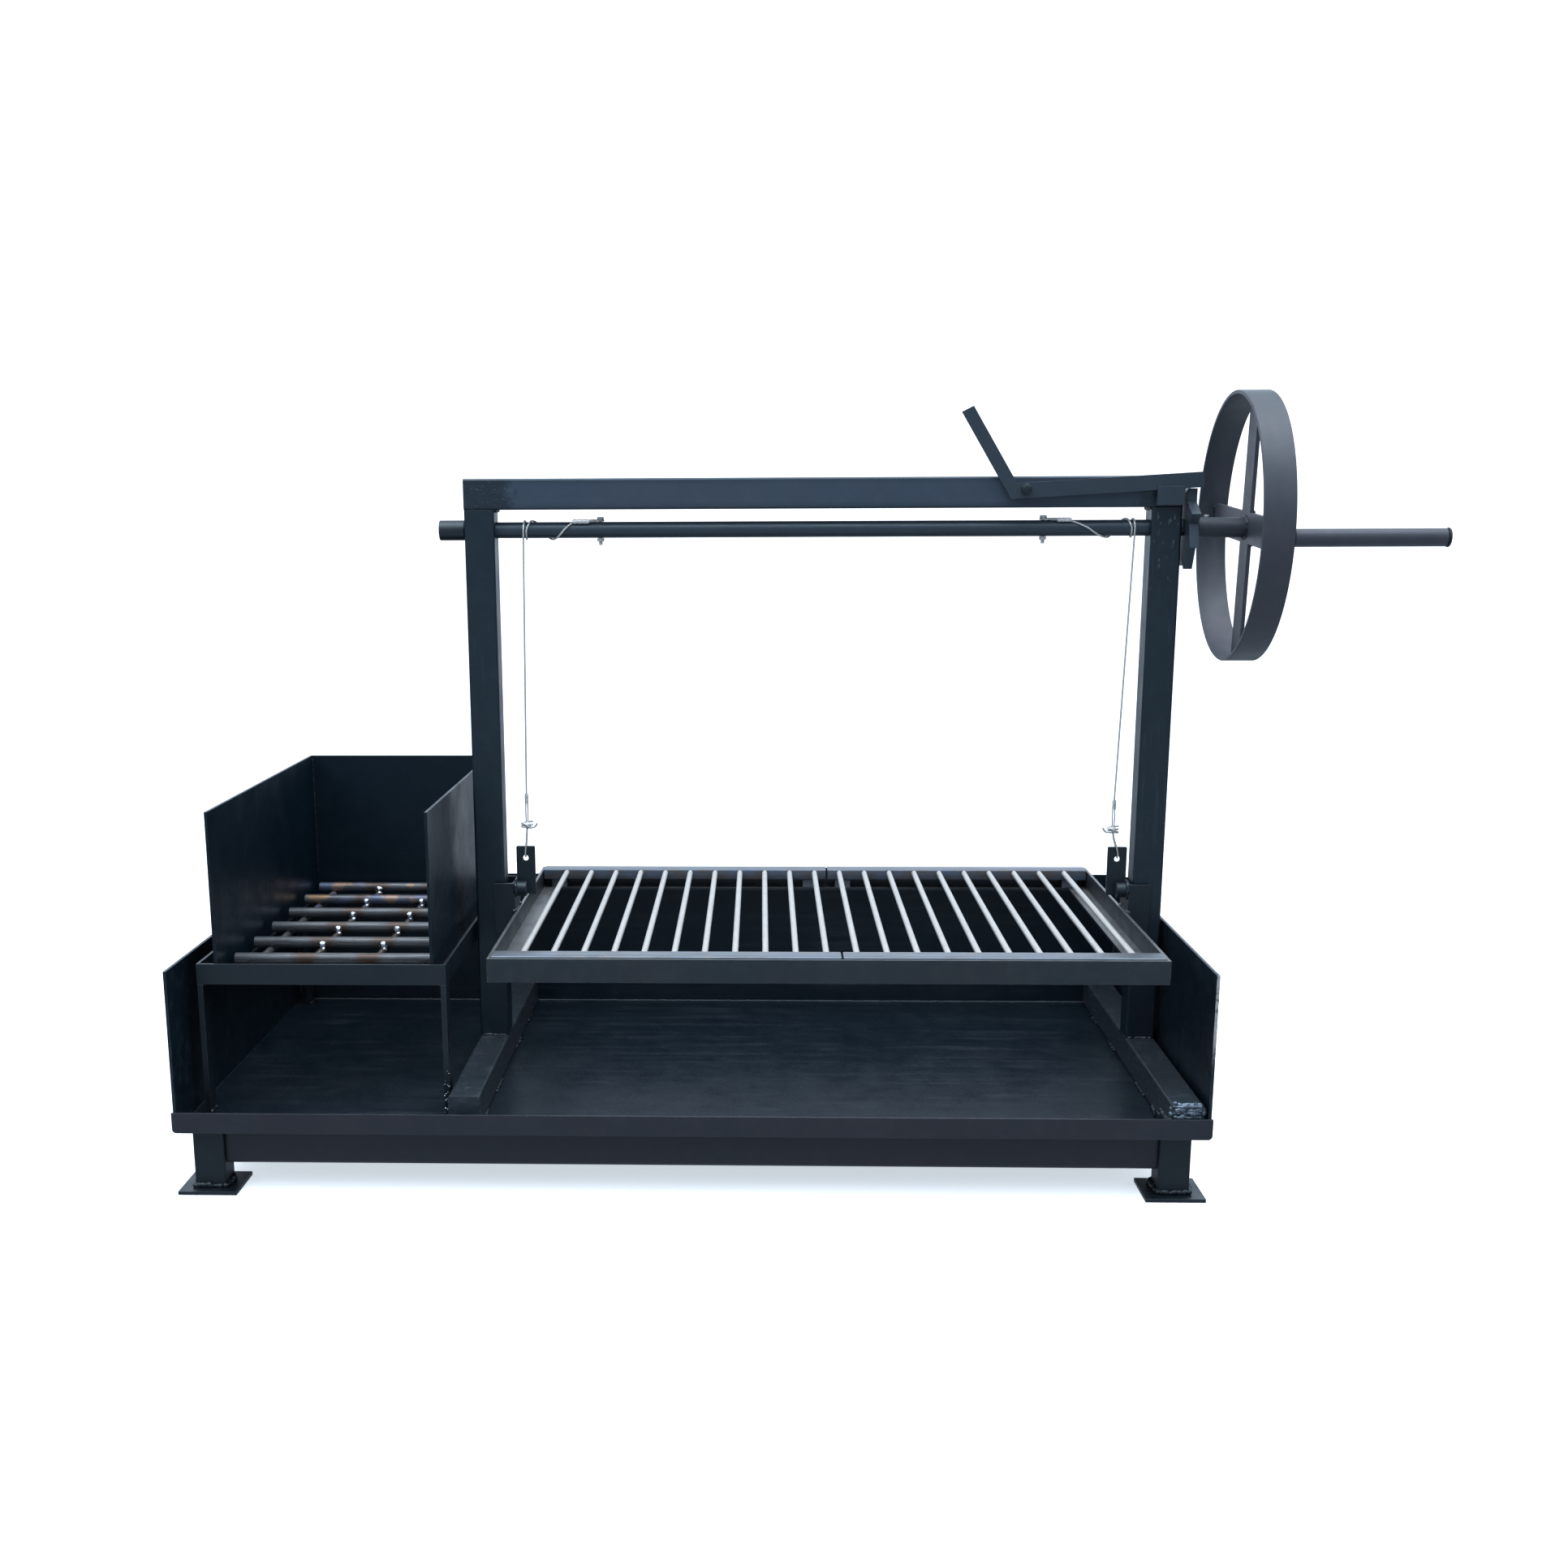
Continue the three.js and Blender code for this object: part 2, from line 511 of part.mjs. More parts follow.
function panel(x0, x1, first, count) {
  const { halfY, z0, z1, rail } = PANEL;
  const parts = [block(x0, x1, -halfY, rail - halfY, z0, z1), block(x0, x1, halfY - rail, halfY, z0, z1)];
  const length = 2 * (halfY - rail + 1);
  for (let i = 0; i < count; i += 1) {
    parts.push(bar(ROD.r, length, 'y', 10).translate(first + i * ROD.pitch, 0, ROD.z));
  }
  const ledge = GRATE.z0 + GRATE.thick;
  for (const y of [-1, 1]) {
    const centre = y * (halfY - PANEL_FOOT.width / 2 - 6);
    for (const x of [x0 + PANEL_FOOT.length, x1 - PANEL_FOOT.length]) {
      const [dx, dy] = [PANEL_FOOT.length / 2, PANEL_FOOT.width / 2];
      parts.push(block(x - dx, x + dx, centre - dy, centre + dy, ledge, z0 + 1));
    }
  }
  return fuse(...parts);
}

function buildCarriage(parent) {
  const carriage = new THREE.Group();
  carriage.position.x = PLAY;
  parent.add(carriage);
  buildGrateFrame(carriage);
  const middle = (GRATE.z0 + SHOE.z1) / 2;
  for (const [side, sign] of MIRROR) {
    const y = (HANGER.y0 + HANGER.y1) / 2;
    add(carriage, `guide_shoe_${side}`, SLATE, shoe(sign), sign * GRATE.halfX, 0, middle);
    add(carriage, `cable_hanger_${side}`, SLATE, hanger(sign), sign * HANGER.x, y, HANGER.holeZ);
    add(carriage, `cable_knot_${side}`, BRIGHT, knot(side, sign), sign * HANGER.x, y, HANGER.holeZ);
  }
  const half = PANEL.gap / 2;
  const second = ROD.first + ROD.left * ROD.pitch;
  add(carriage, 'grill_panel_left', BRUSHED, panel(PANEL.x0, PANEL.split - half, ROD.first, ROD.left));
  add(carriage, 'grill_panel_right', BRUSHED, panel(PANEL.split + half, PANEL.x1, second, ROD.right));
}

// Firebox on its own stand.
function buildFirebox(parent) {
  const { x0, x1, y0, y1, z0, z1, t, ledge } = BOX;
  const ring = cut(
    block(x0, x1, y0, y1, z0, z1),
    block(x0 + t, x1 - t, y0 + t, y1 - t, z0 + t, z1 + 1),
    block(x0 + ledge, x1 - ledge, y0 + ledge, y1 - ledge, z0 - 1, z1),
  );
  add(parent, 'firebox_frame', SLATE, ring);
  const { width, depth } = BOX_LEG;
  for (const [side, x] of [['left', x0], ['right', x1 - width]]) {
    for (const [end, y] of [['front', y0], ['rear', y1 - depth]]) {
      const leg = block(x, x + width, y, y + depth, FLOOR_TOP, z0);
      add(parent, `firebox_leg_${end}_${side}`, SLATE, leg);
    }
  }
  const w = WALL;
  const base = z0 + t;
  add(parent, 'firebox_wall_left', DARK, block(w.x0, w.x0 + w.t, w.y0, w.y1, base, w.z1));
  add(parent, 'firebox_wall_right', DARK, block(w.x1 - w.t, w.x1, w.y0, w.y1, base, w.z1));
  add(parent, 'firebox_wall_back', DARK, block(w.x0 + w.t, w.x1 - w.t, w.y1 - w.t, w.y1, base, w.z1));
  add(parent, 'firebox_grate', RAW, fireGrate(base));
}

function fireGrate(base) {
  const { r, x0, x1, y0, pitch, count, sink } = BARS;
  const length = WALL.y1 - WALL.t - WALL.y0 - 8;
  const middle = (WALL.y0 + WALL.y1 - WALL.t) / 2;
  const runners = CROSS.xs.map((x) => bar(CROSS.r, length, 'y', 10).translate(x, middle, base + CROSS.r));
  const z = base + 2 * CROSS.r + r - sink;
  const rounds = Array.from({ length: count }, (_, i) =>
    bar(r, x1 - x0, 'x', 12).translate((x0 + x1) / 2, y0 + i * pitch, z));
  return fuse(...runners, ...rounds);
}

const grill = new THREE.Group();
grill.name = 'crank_lift_grill';
grill.position.x = CENTRE_X;
buildTray(grill);
buildStand(grill);
buildFrame(grill);
buildKeeper(grill);
buildPawlBolt(grill);
buildPawl(grill);
buildFirebox(grill);
buildCables(grill);
buildCrank(grill);
buildCarriage(grill);

export default grill;
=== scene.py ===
"""Looks for the crank-lift grill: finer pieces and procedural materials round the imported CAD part."""

from math import copysign, cos, pi, radians, sin, sqrt

import bpy
import numpy as np
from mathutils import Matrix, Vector


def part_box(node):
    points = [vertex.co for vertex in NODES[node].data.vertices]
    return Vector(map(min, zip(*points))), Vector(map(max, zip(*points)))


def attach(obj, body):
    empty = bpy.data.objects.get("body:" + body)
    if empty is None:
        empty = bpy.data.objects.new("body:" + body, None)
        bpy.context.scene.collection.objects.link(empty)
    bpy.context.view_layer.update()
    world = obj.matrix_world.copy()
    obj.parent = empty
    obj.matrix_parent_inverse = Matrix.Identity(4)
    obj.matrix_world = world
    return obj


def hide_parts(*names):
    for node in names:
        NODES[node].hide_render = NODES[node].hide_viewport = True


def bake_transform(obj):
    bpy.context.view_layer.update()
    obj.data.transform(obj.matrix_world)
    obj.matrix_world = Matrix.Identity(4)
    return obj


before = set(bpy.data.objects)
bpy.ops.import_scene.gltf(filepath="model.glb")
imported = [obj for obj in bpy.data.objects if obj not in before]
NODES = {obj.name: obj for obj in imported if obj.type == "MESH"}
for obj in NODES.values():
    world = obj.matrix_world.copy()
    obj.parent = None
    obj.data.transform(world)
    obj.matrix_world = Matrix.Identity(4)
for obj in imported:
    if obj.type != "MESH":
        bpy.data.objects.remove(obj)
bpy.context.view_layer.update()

SIDES = (("left", -1), ("right", 1))
DEPTHS = (("front", -1), ("rear", 1))
AROUND = ("front", "rear", "left", "right")


def mid(node):
    low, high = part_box(node)
    return (low + high) / 2


# Places from the frame, and sizes of the CAD part, in metres.
SHAFT = mid("wheel_hub")
PIVOT = mid("pawl_pivot_bolt")
GRIP = mid("handle_grip")
ORIGIN_X = mid("top_beam").x
TUBE = 0.0508
SHAFT_R = 0.01335
WHEEL_TURN = radians(4.2)
FIRE_RUNNERS = (-0.940, -0.850, -0.744, -0.655)
FIRE_BARS = tuple(-0.238 + 0.1175 * k for k in range(6))


# Mesh helpers. Every mesh is written in the row frame, so its object sits at the origin.
def piece(name, verts, faces, look, body, stands_for=None, crease=38):
    mesh = bpy.data.meshes.new(name)
    mesh.from_pydata([tuple(map(float, v)) for v in verts], [], [tuple(map(int, f)) for f in faces])
    mesh.validate()
    mesh.materials.append(LOOKS[look])
    mesh.shade_smooth()
    mesh.set_sharp_from_angle(angle=radians(crease))
    obj = bpy.data.objects.new(name, mesh)
    bpy.context.scene.collection.objects.link(obj)
    if body:
        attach(obj, body)
    if stands_for:
        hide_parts(stands_for)
    return obj


class Shell:
    """Collects several closed surfaces into one piece."""

    def __init__(self):
        self.verts = []
        self.faces = []

    def add(self, verts, faces):
        start = len(self.verts)
        self.verts.extend(verts)
        self.faces.extend([tuple(start + i for i in f) for f in faces])

    def rings(self, rings, closed=False, caps=True):
        """Rings of equally many points, joined one to the next."""
        count, around = len(rings), len(rings[0])
        faces = []
        for i in range(count if closed else count - 1):
            a, b = i * around, ((i + 1) % count) * around
            for k in range(around):
                n = (k + 1) % around
                faces.append((a + k, a + n, b + n, b + k))
        if caps and not closed:
            faces.append(tuple(range(around))[::-1])
            faces.append(tuple((count - 1) * around + k for k in range(around)))
        self.add([p for ring in rings for p in ring], faces)

    def done(self, name, look, body, **options):
        return piece(name, self.verts, self.faces, look, body, **options)


AXES = {
    "x": (np.array([0, 1, 0]), np.array([0, 0, 1]), np.array([1, 0, 0])),
    "y": (np.array([0, 0, 1]), np.array([1, 0, 0]), np.array([0, 1, 0])),
    "z": (np.array([1, 0, 0]), np.array([0, 1, 0]), np.array([0, 0, 1])),
}


def angles_round(count):
    return np.linspace(0, 2 * np.pi, count, endpoint=False)


def turn(shell, axis, centre, profile, sides=48, tube=False):
    """Turned surface: profile is (distance along axis, radius) pairs; a tube's profile closes on itself."""
    u, v, w = AXES[axis]
    angles = angles_round(sides)
    rings = []
    for along, radius in profile:
        base = np.array(centre) + along * w
        rings.append([base + radius * (cos(a) * u + sin(a) * v) for a in angles])
    shell.rings(rings, closed=tube, caps=not tube)


def turned(name, look, body, at, profile, sides, axis="x", tube=False, node=None):
    """One turned surface as a piece of its own."""
    shell = Shell()
    turn(shell, axis, at, profile, sides, tube)
    shell.done(name, look, body, stands_for=node)


def ring_points(x, radius, y, z):
    """Twelve points round a circle that faces along x."""
    return [(x, y + radius * cos(a), z + radius * sin(a)) for a in angles_round(12)]


def rod_profile(start, end, radius, chamfer):
    small = radius - chamfer
    return [(start, small), (start + chamfer, radius), (end - chamfer, radius), (end, small)]


def tube_profile(start, end, outer, inner, chamfer):
    return rod_profile(start, end, outer, chamfer) + [(end, inner), (start, inner)]


def slab(shell, low, high, radius, axis):
    """Bar along axis whose four long edges are rounded."""
    steps = 3
    low, high = np.array(low, float), np.array(high, float)
    u, v, w = AXES[axis]
    centre, half = (low + high) / 2, (high - low) / 2
    hu, hv, hw = abs(half @ u), abs(half @ v), abs(half @ w)
    section = []
    for quarter, (su, sv) in enumerate(((1, 1), (-1, 1), (-1, -1), (1, -1))):
        for i in range(steps + 1):
            a = pi / 2 * (quarter + i / steps)
            across = su * (hu - radius) + radius * cos(a)
            section.append((across, sv * (hv - radius) + radius * sin(a)))
    ends = [(-hw, 0.6), (-hw + radius * 0.5, 1.0), (hw - radius * 0.5, 1.0), (hw, 0.6)]
    rings = []
    for along, share in ends:
        inset = radius * (1 - share)
        rings.append([
            centre + along * w + (p - copysign(inset, p)) * u + (q - copysign(inset, q)) * v
            for p, q in section
        ])
    shell.rings(rings)


def smooth_path(points, step, closed=False):
    """Evenly spaced points on a Catmull-Rom curve through the given ones."""
    pts = [Vector(p) for p in points]
    count = len(pts)
    dense = []
    for i in range(count if closed else count - 1):
        if closed:
            p0, p1, p2, p3 = (pts[(i + k) % count] for k in (-1, 0, 1, 2))
        else:
            p0, p1, p2, p3 = (pts[min(max(i + k, 0), count - 1)] for k in (-1, 0, 1, 2))
        for t in np.linspace(0, 1, 24, endpoint=False):
            a = 2 * p1 + (p2 - p0) * t
            b = (2 * p0 - 5 * p1 + 4 * p2 - p3) * t * t
            c = (3 * p1 - p0 - 3 * p2 + p3) * t ** 3
            dense.append((a + b + c) / 2)
    if not closed:
        dense.append(pts[-1])
    dense = np.array(dense)
    loop = np.vstack([dense, dense[:1]]) if closed else dense
    lengths = np.concatenate([[0], np.cumsum(np.linalg.norm(np.diff(loop, axis=0), axis=1))])
    total = max(3, int(round(lengths[-1] / step)))
    at = np.linspace(0, lengths[-1], total, endpoint=not closed)
    return np.stack([np.interp(at, lengths, loop[:, k]) for k in range(3)], axis=1)


def carried_frames(path, closed=False):
    ahead = np.roll(path, -1, axis=0) - np.roll(path, 1, axis=0)
    if not closed:
        ahead[0] = path[1] - path[0]
        ahead[-1] = path[-1] - path[-2]
    tangents = ahead / np.linalg.norm(ahead, axis=1)[:, None]
    normal = np.cross(tangents[0], [0.31, 0.17, 0.93])
    frames = []
    for t in tangents:
        normal = normal - t * (normal @ t)
        normal = normal / np.linalg.norm(normal)
        frames.append((normal, np.cross(t, normal)))
    return frames


def sweep(shell, path, section, closed=False):
    """section(i) gives the (u, v) points of ring i."""
    rings = []
    for i, (point, (u, v)) in enumerate(zip(path, carried_frames(path, closed))):
        rings.append([point + a * u + b * v for a, b in section(i)])
    shell.rings(rings, closed=closed)


ROPE_R = 0.0016
ROPE_STRANDS = 6
ROPE_LAY = 0.021
ROPE_STEP = 0.0011


def rope(shell, points, radius=ROPE_R):
    """Laid wire rope: a lobed section that turns as it goes."""
    path = smooth_path(points, ROPE_STEP)
    angles = angles_round(3 * ROPE_STRANDS)

    def section(i):
        twist = 2 * np.pi * i * ROPE_STEP / ROPE_LAY
        lobes = radius * (0.74 + 0.26 * np.abs(np.cos(ROPE_STRANDS / 2 * angles)))
        return np.stack([lobes * np.cos(angles + twist), lobes * np.sin(angles + twist)], axis=1)

    sweep(shell, path, section)


BEAD_STEP = 0.0013
SCALLOP = 0.0027
RIPPLE = 0.16


def bead(shell, points, radius, seed, closed=False, lumps=0.22, wander=0.18):
    """Weld bead: overlapping scallops with uneven width, half sunk in the corner it fills."""
    draw = np.random.default_rng(seed)
    path = smooth_path(points, BEAD_STEP, closed)
    count = len(path)
    window = np.hanning(9) / np.hanning(9).sum()
    rough = np.convolve(draw.normal(0, 1, count + 8), window, "valid")
    axes = [np.convolve(draw.normal(0, 1, count + 8), window, "valid") for _ in range(3)]
    drift = np.stack(axes, axis=1)
    path = path + drift * radius * wander
    angles = angles_round(10)

    def section(i):
        scallop = 1 + RIPPLE * (abs(sin(pi * i * BEAD_STEP / SCALLOP)) - 0.5)
        end = 1.0 if closed else min(1.0, 0.35 + 0.3 * min(i, count - 1 - i))
        r = radius * scallop * max(0.55, 1 + lumps * rough[i]) * end
        return np.stack([r * np.cos(angles), r * np.sin(angles)], axis=1)

    sweep(shell, path, section, closed)


def blob(shell, centre, radii, seed, rows=7, around=12, rough=0.12):
    """Uneven drop of weld metal."""
    draw = np.random.default_rng(seed)
    rings = []
    for j in range(rows):
        a = pi * (j + 0.5) / rows
        ring = []
        for k in range(around):
            b = 2 * pi * k / around
            r = 1 + rough * draw.normal() * sin(a)
            ring.append(np.array(centre) + r * np.array(radii) * [
                sin(a) * cos(b), sin(a) * sin(b), -cos(a)])
        rings.append(ring)
    shell.rings(rings)


# Materials.
class Look:
    """A procedural material. Texture space is the row frame, in metres."""

    def __init__(self, name):
        self.material = bpy.data.materials.new(name)
        self.material.use_nodes = True
        self.nodes = self.material.node_tree.nodes
        self.links = self.material.node_tree.links
        self.shader = self.nodes["Principled BSDF"]
        self.space = self.nodes.new("ShaderNodeTexCoord").outputs["Object"]

    def node(self, kind, inputs=None, output=0, **properties):
        made = self.nodes.new(kind)
        for key, value in properties.items():
            setattr(made, key, value)
        for key, value in (inputs or {}).items():
            if isinstance(value, bpy.types.NodeSocket):
                self.links.new(value, made.inputs[key])
            else:
                made.inputs[key].default_value = value
        return made.outputs[output]

    def noise(self, scale, detail=3.0, rough=0.55, stretch=None, warp=0.0):
        space = self.space
        if stretch:
            space = self.node("ShaderNodeVectorMath", {0: space, 1: stretch}, operation="MULTIPLY")
        inputs = {"Vector": space, "Scale": scale, "Detail": detail, "Roughness": rough, "Distortion": warp}
        return self.node("ShaderNodeTexNoise", inputs)

    def cells(self, scale):
        return self.node("ShaderNodeTexVoronoi", {"Vector": self.space, "Scale": scale})

    def fade(self, value, low, high, to_low=0.0, to_high=1.0):
        inputs = {"Value": value, "From Min": low, "From Max": high, "To Min": to_low, "To Max": to_high}
        return self.node("ShaderNodeMapRange", inputs, clamp=True)

    def mix(self, share, a, b):
        a, b = (c if isinstance(c, bpy.types.NodeSocket) else (*c, 1.0) for c in (a, b))
        return self.node("ShaderNodeMix", {0: share, 6: a, 7: b}, output=2, data_type="RGBA")

    def math(self, operation, a, b=0.0):
        return self.node("ShaderNodeMath", {0: a, 1: b}, operation=operation)

    def times(self, a, b):
        return self.math("MULTIPLY", a, b)

    def tint(self, colour, share, strength, tone):
        return self.mix(self.times(share, strength), colour, tone)

    def position(self):
        made = self.nodes.new("ShaderNodeSeparateXYZ")
        self.links.new(self.space, made.inputs[0])
        return made.outputs

    def edges(self, width):
        """1 along sharp edges: where the rounded normal leaves the flat one."""
        bent = self.node("ShaderNodeBevel", {"Radius": width}, samples=4)
        flat = self.node("ShaderNodeNewGeometry", output=1)
        dot = self.node("ShaderNodeVectorMath", {0: bent, 1: flat}, output="Value", operation="DOT_PRODUCT")
        return self.fade(dot, 0.98, 0.75)

    def bump(self, layers, edge=0.0):
        """layers: (height, distance) pairs, coarse first; edge rounds sharp corners by that radius."""
        normal = self.node("ShaderNodeBevel", {"Radius": edge}, samples=4) if edge else None
        for height, distance in layers:
            inputs = {"Height": height, "Distance": distance, "Strength": 1.0}
            if normal is not None:
                inputs["Normal"] = normal
            normal = self.node("ShaderNodeBump", inputs)
        self.links.new(normal, self.shader.inputs["Normal"])

    def surface(self, **inputs):
        for key, value in inputs.items():
            socket = self.shader.inputs[key.replace("_", " ")]
            if isinstance(value, bpy.types.NodeSocket):
                self.links.new(value, socket)
            else:
                socket.default_value = (*value, 1.0) if isinstance(value, tuple) else value
        return self.material


def paint(name, base, lift, roughness, wear=0.35, grain=1.0, extra=None, hue=0.6, sheen=(0.76, 0.92, 1.0),
          level=0.62):
    """Thin satin paint over mill steel: mottled, dusty, orange-peeled, worn at its edges."""
    look = Look(name)
    cloud = look.noise(5.5, 4.0, 0.6)
    patch = look.noise(38, 4.0, 0.62, warp=0.6)
    speck = look.cells(620)
    teal = tuple(c * (1 + hue * k) for c, k in zip(base, (-0.20, 0.10, 0.10)))
    purple = tuple(c * (1 + hue * k) for c, k in zip(base, (0.24, -0.02, 0.08)))
    colour = look.mix(look.fade(cloud, 0.38, 0.62), teal, purple)
    colour = look.mix(look.fade(patch, 0.45, 0.75, 0.0, 0.55), colour, lift)
    dust = look.times(look.fade(speck, 0.13, 0.05), look.fade(look.noise(90, 2.0), 0.56, 0.66))
    colour = look.tint(colour, dust, 0.55, (0.30, 0.32, 0.34))
    rubbed = look.times(look.edges(0.0016), look.fade(look.noise(60, 5.0, 0.7), 0.42, 0.62))
    colour = look.tint(colour, rubbed, wear, (0.20, 0.22, 0.25))
    gloss = look.fade(look.noise(14, 5.0, 0.65), 0.3, 0.7, roughness - 0.07, roughness + 0.09)
    if extra:
        colour, gloss = extra(look, colour, gloss)
    look.bump(
        [(look.noise(7, 2.0), 0.0012 * grain), (look.noise(420, 3.0, 0.6), 0.00009 * grain)], edge=0.0011)
    return look.surface(
        Base_Color=colour, Roughness=gloss, Metallic=0.0, Specular_IOR_Level=level, Specular_Tint=sheen)


def brush_marks(look, colour, gloss):
    """Brush strokes along the sides of the arms."""
    strokes = look.noise(1.0, 6.0, 0.7, stretch=(40, 34, 260))
    shine = look.fade(strokes, 0.52, 0.66)
    return look.tint(colour, shine, 0.35, (0.10, 0.12, 0.15)), \
        look.math("SUBTRACT", gloss, look.times(shine, 0.16))


def lit_up_faces(look, colour, gloss):
    """Painted highlight: faces that point up, such as the flanges that the loose panels rest on, are paler
    than the upright faces, in long streaks.
    """
    facing = look.nodes.new("ShaderNodeSeparateXYZ")
    look.links.new(look.node("ShaderNodeNewGeometry", output=1), facing.inputs[0])
    highlight_streaks = look.fade(look.noise(1.0, 5.0, 0.65, stretch=(28, 28, 90)), 0.3, 0.6, 0.35, 1.0)
    # Painted highlight: up-facing faces are mixed toward a paler grey.
    share = look.times(look.fade(facing.outputs["Z"], 0.7, 0.95), highlight_streaks)
    return look.mix(share, colour, (0.105, 0.105, 0.104)), gloss


def rubbed_streaks(look, colour, gloss):
    """Long wiped streaks up the posts, and pale chips under the pawl's keeper."""
    streaks = look.noise(1.0, 5.0, 0.65, stretch=(120, 120, 7))
    share = look.times(look.fade(streaks, 0.52, 0.7), look.fade(look.noise(9, 3.0), 0.45, 0.62))
    colour = look.tint(colour, share, 0.35, (0.045, 0.062, 0.078))
    x, _, z = look.position()[:3]
    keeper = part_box("pawl_keeper")[0]
    beside = look.fade(x, keeper.x - 0.01, keeper.x)
    near = look.times(beside, look.fade(z, keeper.z - 0.16, keeper.z - 0.03))
    chips = look.fade(look.noise(150, 4.0, 0.6, stretch=(1, 1, 0.35)), 0.63, 0.68)
    return look.mix(look.times(look.times(near, chips), 0.5), colour, (0.20, 0.22, 0.24)), \
        look.math("SUBTRACT", gloss, look.times(share, 0.08))


def beam_shading(look, colour, gloss):
    """Painted shade: the face darkens toward its long top and bottom edges; dark dressed weld at each end.
    """
    low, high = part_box("top_beam")
    x, _, z = look.position()[:3]
    middle = (low.z + high.z) / 2
    # Painted shade: darker toward the long top and bottom edges of the face.
    edge = look.fade(look.math("ABSOLUTE", look.math("SUBTRACT", z, middle)), 0.014, 0.026)
    colour = look.tint(colour, edge, 0.6, (0.0060, 0.0120, 0.0200))
    ragged = look.times(look.noise(55, 5.0, 0.7), 0.085)
    left = look.math("SUBTRACT", look.math("ADD", low.x + 0.045, ragged), x)
    right = look.math("SUBTRACT", x, look.math("SUBTRACT", high.x - 0.045, ragged))
    ends = look.fade(look.math("MAXIMUM", left, right), 0.0, 0.02)
    colour = look.tint(colour, ends, 0.75, (0.0045, 0.0085, 0.0140))
    scratch = look.fade(look.noise(1.0, 3.0, 0.5, stretch=(90, 90, 420), warp=1.5), 0.655, 0.67)
    share = look.times(scratch, ends)
    return look.tint(colour, share, 0.5, (0.16, 0.19, 0.22)), \
        look.math("SUBTRACT", gloss, look.times(ends, 0.1))


def rolled_marks(look, colour, gloss):
    """Long faint roll and wipe marks of sheet steel along the tray."""
    streaks = look.noise(1.0, 5.0, 0.6, stretch=(3.2, 46, 46))
    wipes = look.noise(1.0, 4.0, 0.55, stretch=(7, 2.2, 2.2), warp=1.2)
    share = look.times(look.fade(streaks, 0.5, 0.72), look.fade(wipes, 0.4, 0.7))
    colour = look.tint(colour, share, 0.5, (0.055, 0.065, 0.078))
    return raw_cut_edge(look, colour, gloss)


def raw_cut_edge(look, colour, gloss):
    """Bare whitish front edge on the upper half of the tray's right wall."""
    x, y, z = look.position()[:3]
    low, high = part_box("tray_shell")
    right = look.fade(x, high.x - 0.012, high.x - 0.008)
    front = look.fade(y, low.y + 0.0012, low.y + 0.0004)
    up = look.fade(z, 0.225, 0.275)
    worn = look.fade(look.noise(70, 5.0, 0.7), 0.36, 0.5)
    share = look.times(look.times(right, front), look.times(up, worn))
    return look.mix(share, colour, (0.42, 0.41, 0.38)), gloss


def steel(name, dark, light, roughness=0.3, stretch=(1, 1, 1), scale=180, heat=None, metal=1.0, stain=0.3,
          grooves=()):
    """Bare steel with a directional grain, stains and, where asked, heat colours."""
    look = Look(name)
    grain = look.noise(scale, 5.0, 0.7, stretch=stretch)
    cloud = look.noise(26, 4.0, 0.6)
    colour = look.mix(look.fade(grain, 0.3, 0.72), dark, light)
    colour = look.mix(look.fade(cloud, 0.52, 0.78, 0.0, stain), colour, tuple(0.45 * c for c in dark))
    if heat:
        colour = heat(look, colour)
    gloss = look.fade(grain, 0.3, 0.7, roughness + 0.08, roughness - 0.06)
    layers = [(cloud, 0.0003), (grain, 0.00006)]
    if grooves:
        y = look.math("ABSOLUTE", look.position()[1])
        for at in grooves:
            away = look.math("ABSOLUTE", look.math("SUBTRACT", y, at))
            line = look.fade(away, 0.0004, 0.0014)
            inside = look.math("SUBTRACT", 1.0, line)
            colour = look.tint(colour, inside, 0.6, (0.02, 0.024, 0.03))
            layers.append((line, 0.0005))
    look.bump(layers, edge=0.0006)
    return look.surface(Base_Color=colour, Roughness=gloss, Metallic=metal)


def rust_and_heat(look, colour):
    """Brown bloom round the welds, straw and blue temper colours along the rear bars."""
    x, y = look.position()[:2]
    ragged = look.noise(60, 5.0, 0.7, warp=0.8)
    rust = look.times(look.fade(ragged, 0.58, 0.70), 0.6)
    for runner in FIRE_RUNNERS[1:3]:
        away = look.math("ABSOLUTE", look.math("SUBTRACT", x, ORIGIN_X + runner))
        reach = look.math("ADD", away, look.times(ragged, -0.03))
        rust = look.math("MAXIMUM", rust, look.fade(reach, 0.012, -0.004))
    colour = look.tint(colour, rust, 0.75, (0.085, 0.050, 0.032))
    rear = look.fade(y, FIRE_BARS[3], FIRE_BARS[4] - 0.02)
    blue = look.times(rear, look.fade(look.noise(19, 3.0, 0.5), 0.50, 0.60))
    colour = look.tint(colour, blue, 0.55, (0.12, 0.17, 0.30))
    straw = look.times(rear, look.fade(look.noise(23, 3.0, 0.5), 0.56, 0.63))
    return look.tint(colour, straw, 0.55, (0.42, 0.24, 0.11))


def burnt_ends(look, colour):
    """Straw and blue tint where the grill rods were welded on."""
    tint = look.fade(look.noise(1.0, 3.0, 0.5, stretch=(22, 60, 60)), 0.5, 0.62)
    colour = look.tint(colour, tint, 0.45, (0.16, 0.21, 0.27))
    straw = look.fade(look.noise(1.0, 2.0, 0.5, stretch=(31, 40, 40)), 0.6, 0.7)
    colour = look.tint(colour, straw, 0.3, (0.26, 0.19, 0.13))
    y = look.position()[1]
    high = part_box("grill_panel_left")[1]
    face = look.fade(y, high.y - 0.0352, high.y - 0.0372)
    face = look.times(face, look.fade(y, 0.10, 0.12))
    burn = look.fade(look.noise(1.0, 4.0, 0.6, stretch=(34, 1, 70)), 0.36, 0.62)
    burnt = look.mix(burn, (0.085, 0.125, 0.190), (0.100, 0.080, 0.068))
    return look.tint(colour, face, 0.7, burnt)


